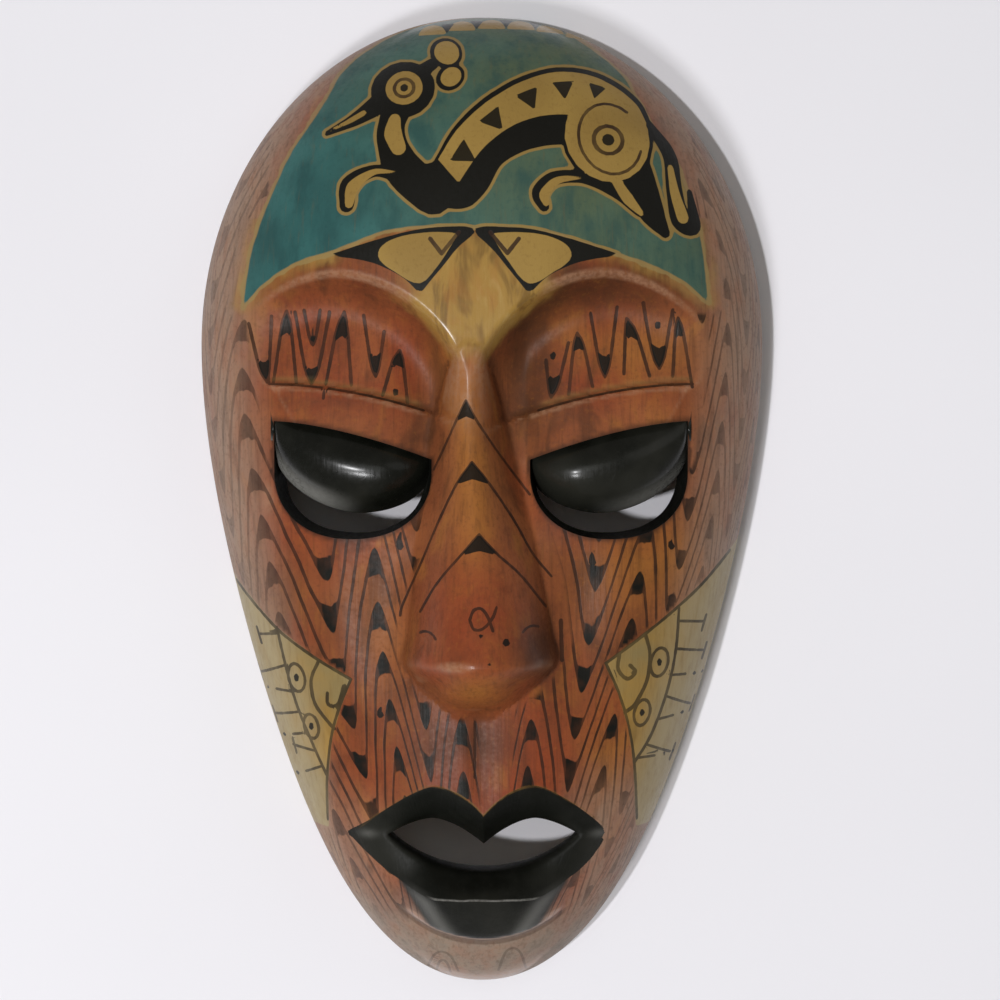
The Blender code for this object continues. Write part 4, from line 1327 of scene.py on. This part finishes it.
    dull = speckle.ramp(0.3, 0.8, -0.04, 0.08) + clouds.ramp(0.3, 0.7, -0.03, 0.06)
    roughness = (SHEEN + dull) + raw * 0.3 - lid * (SHEEN - LID_SHEEN)
    roughness = roughness + black * (1.0 - lid) * 0.08 - crest * 0.1
    height = grain * 0.35 + fibres * 0.12 + speckle * 0.2 + ink * wave_strength * -0.12 + stroke * -0.15
    varnish = {"Coat Weight": 0.3 * lid + 0.4 * crest * (1.0 - black), "Coat Roughness": 0.2,
               "Specular IOR Level": 0.15}
    for name, value in varnish.items():
        nodes.feed(nodes.shader.inputs[name], value)
    nodes.finish(colour, roughness, height, GRAIN_STRENGTH, GRAIN_DEPTH)
    return nodes.material


def pale_floor(colour):
    nodes = Nodes("pale floor")
    clouds = nodes.noise(0.3, 2.0, 0.5)
    paint = nodes.mix(clouds.ramp(0.3, 0.7), as_light(colour), as_light([0.985 * part for part in colour]))
    nodes.finish(paint, clouds.ramp(0.3, 0.7, 0.7, 0.8), nodes.noise(0.004), 0.05, 0.0005)
    return nodes.material


# Settings

def shade_of(name, red, green, blue, what):
    return bpy.props.FloatVectorProperty(name=name, description=what, size=3, subtype="COLOR_GAMMA",
                                         min=0.0, max=1.0, default=(red / 255, green / 255, blue / 255))


def length(name, what, default, low, high):
    return bpy.props.FloatProperty(name=name, description=what, default=default, min=low, max=high,
                                   subtype="DISTANCE", unit="LENGTH")


def count_of(name, what, default, low, high):
    return bpy.props.IntProperty(name=name, description=what, default=default, min=low, max=high)


class MaskSizes(bpy.types.PropertyGroup):
    slit: length("Eye slit", "Gap under each eyelid, at its widest", 0.0078, 0.002, 0.012)
    lid: length("Eyelid", "Thickness of the bulging eyelids", 0.010, 0.004, 0.014)
    lip_bevel: length("Lip bevel", "How far the mouth lies behind the edge of the lips", 0.012, 0.006, 0.016)
    wall: length("Wall", "Wood left behind the forehead and the cheeks", 0.014, 0.010, 0.020)
    rim: length("Rim", "Width of the flat back rim", 0.012, 0.008, 0.016)
    gouge: length("Gouge marks", "Width of the chisel's scoops in the hollow back", 0.009, 0.004, 0.020)
    rows: count_of("Rows", "Fineness of the carved face from the chin to the crown", 305, 60, 330)
    columns: count_of("Columns", "Fineness of the carved face across", 245, 50, 260)


class MaskColours(bpy.types.PropertyGroup):
    stain: shade_of("Stain", 126, 70, 42, "Orange-brown stain of the wood")
    stain_light: shade_of("Light stain", 146, 86, 50, "Stain where it took thinly")
    stain_gold: shade_of("Golden stain", 158, 102, 46, "Yellow stain down the bridge and under the brows")
    stain_red: shade_of("Red stain", 132, 56, 32, "Redder patches of the stain")
    # Also painted shade beside the nose, under it and in the hollows
    stain_shade: shade_of("Dark stain", 70, 44, 29, "Stain in the grain and beside the nose")
    # Also painted highlights on the crests, the nose, the bridge and the left cheek
    stain_rubbed: shade_of("Rubbed stain", 168, 126, 96, "Stain rubbed thin along the crests")
    # Also painted sheen along the steep sides
    stain_grey: shade_of("Faded stain", 161, 136, 115, "Faded stain along the sides")
    stain_dusty: shade_of("Dusty stain", 138, 126, 111, "Greyed stain of the chin")
    line: shade_of("Line", 46, 30, 22, "Thin brown pen lines")
    ink: shade_of("Ink", 22, 21, 17, "Black ink of the figures and the filled tips")
    ochre: shade_of("Ochre", 156, 122, 60, "Yellow ochre")
    # Also the pale line of worn paint and painted highlight along the upper lip's edge
    ochre_dark: shade_of("Dark ochre", 112, 84, 42, "Ochre where it is rubbed or stained")
    ochre_pale: shade_of("Pale ochre", 172, 142, 84, "Ochre where it is thin")
    ochre_edge: shade_of("Ochre edge", 146, 126, 80, "Thin ochre border of the forehead panel")
    figure: shade_of("Figure ochre", 160, 130, 68, "Ochre of the beast and the leaves")
    fan: shade_of("Straw", 134, 116, 76, "Cheek panels")
    # Also painted sheen where the panels reach the steep sides
    fan_pale: shade_of("Pale straw", 164, 148, 112, "Cheek panels where they are rubbed")
    fan_line: shade_of("Panel line", 52, 45, 29, "Thin olive lines on the cheek panels")
    teal: shade_of("Teal", 56, 102, 99, "Forehead panel")
    teal_dark: shade_of("Dark teal", 38, 72, 71, "Forehead panel where the paint is thick")
    teal_green: shade_of("Green teal", 86, 98, 72, "Forehead panel where it is rubbed")
    lacquer: shade_of("Lacquer", 15, 16, 12, "Black of the lids and the lips")
    lacquer_worn: shade_of("Worn lacquer", 34, 34, 29, "Black where it is rubbed")
    # Painted sheen and highlights on the lacquer, and the pale line along the lower lip's ridge
    lacquer_sheen: shade_of("Rubbed lacquer", 132, 131, 126, "Grey bloom along the lids' outer edges")
    raw: shade_of("Raw wood", 206, 186, 154, "Bare wood behind")
    raw_dark: shade_of("Dark raw wood", 170, 142, 106, "Grain and stains of the bare wood")


class StageSettings(bpy.types.PropertyGroup):
    distance: length("Camera height", "Height of the camera over the floor", 0.95, 0.4, 3.0)
    frame_width: length("Frame width", "Width of the floor that the picture shows", 0.3135, 0.2, 1.0)
    key: bpy.props.FloatProperty(
        name="Key light", description="Power of the main light", default=61.0, min=0.0, unit="POWER")
    sky: bpy.props.FloatProperty(
        name="Room light", description="Strength of the light from all round", default=0.185, min=0.0)
    floor: shade_of("Floor", 236, 235, 240, "Plain pale floor")


# Operators

class CarveMask(bpy.types.Operator):
    """Carves the face, the hollow back, the mouth and the eyes from one block and paints it"""

    bl_idname = "wallmask.carve"
    bl_label = "Carve and Paint Mask"

    def execute(self, context):
        sizes = context.scene.mask_sizes
        scale = (MASK_HIGH - MASK_LOW) / PATTERN
        x, y = dome_grid(sizes.rows, sizes.columns)
        uneven = HAND_CUT * hand_cut(x, y, HAND_CUT_SPREAD) * smooth(0.0, 0.5, section(x, y))
        relief = face_height(x, y) + uneven
        solid = slab("mask_carving", (as_points(x, y, sunk(relief)), as_points(x, y, -2.0 * CUT_BELOW)), FACE)
        inner = 1.0 - 2.0 * sizes.rim / scale / PATTERN
        x, y = dome_grid(*HOLLOW_GRID)
        gouged = hollow_height(x, y, sizes.wall / scale[2])
        scoops = gouge_marks(x, y, sizes.gouge / scale[0], GOUGE_DEPTH)
        gouged = gouged - scoops * smooth(0.0, 0.4, section(x, y))
        hollow = slab("hollow", (as_points(x * inner[0], y * inner[1], sunk(gouged)),
                                 as_points(x * inner[0], y * inner[1], -3.0 * CUT_BELOW)), HOLLOW)
        tools = [(hollow, "DIFFERENCE"), (mouth_opening(sizes.lip_bevel / scale[2]), "DIFFERENCE")]
        for name, direction in (("left", -1.0), ("right", 1.0)):
            tools.append((eye_opening(f"{name} socket", direction), "DIFFERENCE"))
            lid = eyelid(f"{name} lid", direction, sizes.slit / scale[1], sizes.lid / scale[2])
            tools.append((lid, "UNION"))
        tools.append((block_below(), "DIFFERENCE"))
        carve(solid, tools)
        mesh = solid.data
        places = read(mesh.vertices, "co", width=3).reshape(-1, 3)
        if len(mesh.polygons) < 10000 or abs(places[:, 2].min()) > 0.01:
            raise RuntimeError("the mask was not carved as it should be")
        marks = read(mesh.polygons, "material_index", int)
        totals = read(mesh.polygons, "loop_total", int)
        corners = read(mesh.loops, "vertex_index", int)
        edges = read(mesh.loops, "edge_index", int)
        marks = np.repeat(marks, totals)
        x, y, z = places.T
        flat = places[:, :2].copy()
        paint_waves(mesh, x, y, paint_panels(mesh, x, y, flat))
        paint_figures(mesh, flat)
        paint_black(mesh, x, y, marks, corners, sizes.slit / scale[1])
        paint_tones(mesh, x, y)
        mesh.vertices.foreach_set("co", (places * scale).ravel())
        mesh.polygons.foreach_set("material_index", np.zeros(len(mesh.polygons), np.int32))
        mesh.materials.clear()
        mesh.materials.append(painted_wood(context.scene.mask_colours))
        mesh.shade_smooth()
        mesh.set_sharp_from_angle(angle=math.radians(SHARP_FROM))
        lips = (marks == MOUTH) & (z[corners] > LIPS_OVER)
        self.soften(mesh, np.bincount(edges[lips], minlength=len(mesh.edges)))
        mesh.update()
        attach(solid, "root")
        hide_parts("mask")
        return {"FINISHED"}

    @staticmethod
    def soften(mesh, lip_faces):
        """Shades the edges between two faces of the lips smooth, so that the mouth's corners stay soft."""
        sharp = mesh.attributes["sharp_edge"].data
        sharp.foreach_set("value", read(sharp, "value", bool) & (lip_faces < 2))


# The stage, in metres: half the floor's side, the gap under the rim, where the camera stands, and the
# lamps, each with its share of the key's power, its size, its place and its colour
FLOOR_REACH = 4.0
FLOOR_GAP = 0.0002
CAMERA_OVER = (0.00564, -0.00047)
LAMPS = (
    ("key", 1.0, 0.11, (-1.03, -0.345, 3.5), (0.985, 0.985, 1.0)),
    ("second key", 0.135, 0.2, (-0.36, -0.55, 1.33), (0.985, 0.985, 1.0)),
    ("fill", 0.034, 1.2, (1.2, 0.9, 1.5), (1.0, 0.98, 0.94)),
    ("over the mask", 0.019, 0.6, (0.0, 0.22, 1.6), (0.97, 1.0, 0.96)),
)


class SetStage(bpy.types.Operator):
    """Lays a pale floor under the mask and adds the lights and the camera over it"""

    bl_idname = "wallmask.stage"
    bl_label = "Set Stage"

    def execute(self, context):
        scene = context.scene
        stage = scene.mask_stage
        mesh = bpy.data.meshes.new("floor")
        corners = [(x * FLOOR_REACH, y * FLOOR_REACH, 0.0) for x, y in ((-1, -1), (1, -1), (1, 1), (-1, 1))]
        mesh.from_pydata(corners, [], [(0, 1, 2, 3)])
        mesh.materials.append(pale_floor(stage.floor))
        floor = bpy.data.objects.new("floor", mesh)
        floor.location.z = -FLOOR_GAP
        scene.collection.objects.link(floor)

        lens = bpy.data.cameras.new("camera")
        lens.sensor_width = 36.0
        lens.lens = lens.sensor_width * stage.distance / stage.frame_width
        camera = bpy.data.objects.new("camera", lens)
        camera.location = (*CAMERA_OVER, stage.distance)
        scene.collection.objects.link(camera)
        scene.camera = camera

        for name, share, *rest in LAMPS:
            self.lamp(scene, name, share * stage.key, *rest)
        world = bpy.data.worlds.new("room")
        scene.world = world
        world.use_nodes = True
        back = world.node_tree.nodes["Background"]
        back.inputs["Color"].default_value = (0.95, 0.92, 0.86, 1.0)
        back.inputs["Strength"].default_value = stage.sky
        scene.view_settings.view_transform = "Standard"
        return {"FINISHED"}

    @staticmethod
    def lamp(scene, name, power, size, place, colour):
        light = bpy.data.lights.new(name, "AREA")
        light.energy = power
        light.size = size
        light.color = colour
        lamp = bpy.data.objects.new(name, light)
        lamp.location = place
        lamp.rotation_euler = (-Vector(place)).to_track_quat("-Z", "Y").to_euler()
        scene.collection.objects.link(lamp)


class MaskPanel(bpy.types.Panel):
    """Sizes, colours and steps of the wall mask"""

    bl_idname = "VIEW3D_PT_wallmask"
    bl_label = "Wall Mask"
    bl_space_type = "VIEW_3D"
    bl_region_type = "UI"
    bl_category = "Wall Mask"

    def draw(self, context):
        scene = context.scene
        for group in (scene.mask_sizes, scene.mask_colours, scene.mask_stage):
            box = self.layout.box()
            for name in group.bl_rna.properties.keys():
                if name not in ("rna_type", "name"):
                    box.prop(group, name)
        for step in STEPS:
            self.layout.operator(step.bl_idname)


STEPS = (CarveMask, SetStage)
CLASSES = (MaskSizes, MaskColours, StageSettings, *STEPS, MaskPanel)


def register():
    for kind in CLASSES:
        bpy.utils.register_class(kind)
    bpy.types.Scene.mask_sizes = bpy.props.PointerProperty(type=MaskSizes)
    bpy.types.Scene.mask_colours = bpy.props.PointerProperty(type=MaskColours)
    bpy.types.Scene.mask_stage = bpy.props.PointerProperty(type=StageSettings)


def unregister():
    del bpy.types.Scene.mask_stage
    del bpy.types.Scene.mask_colours
    del bpy.types.Scene.mask_sizes
    for kind in reversed(CLASSES):
        bpy.utils.unregister_class(kind)


def main():
    register()
    bpy.ops.wallmask.carve()
    bpy.ops.wallmask.stage()


if __name__ == "__main__":
    main()
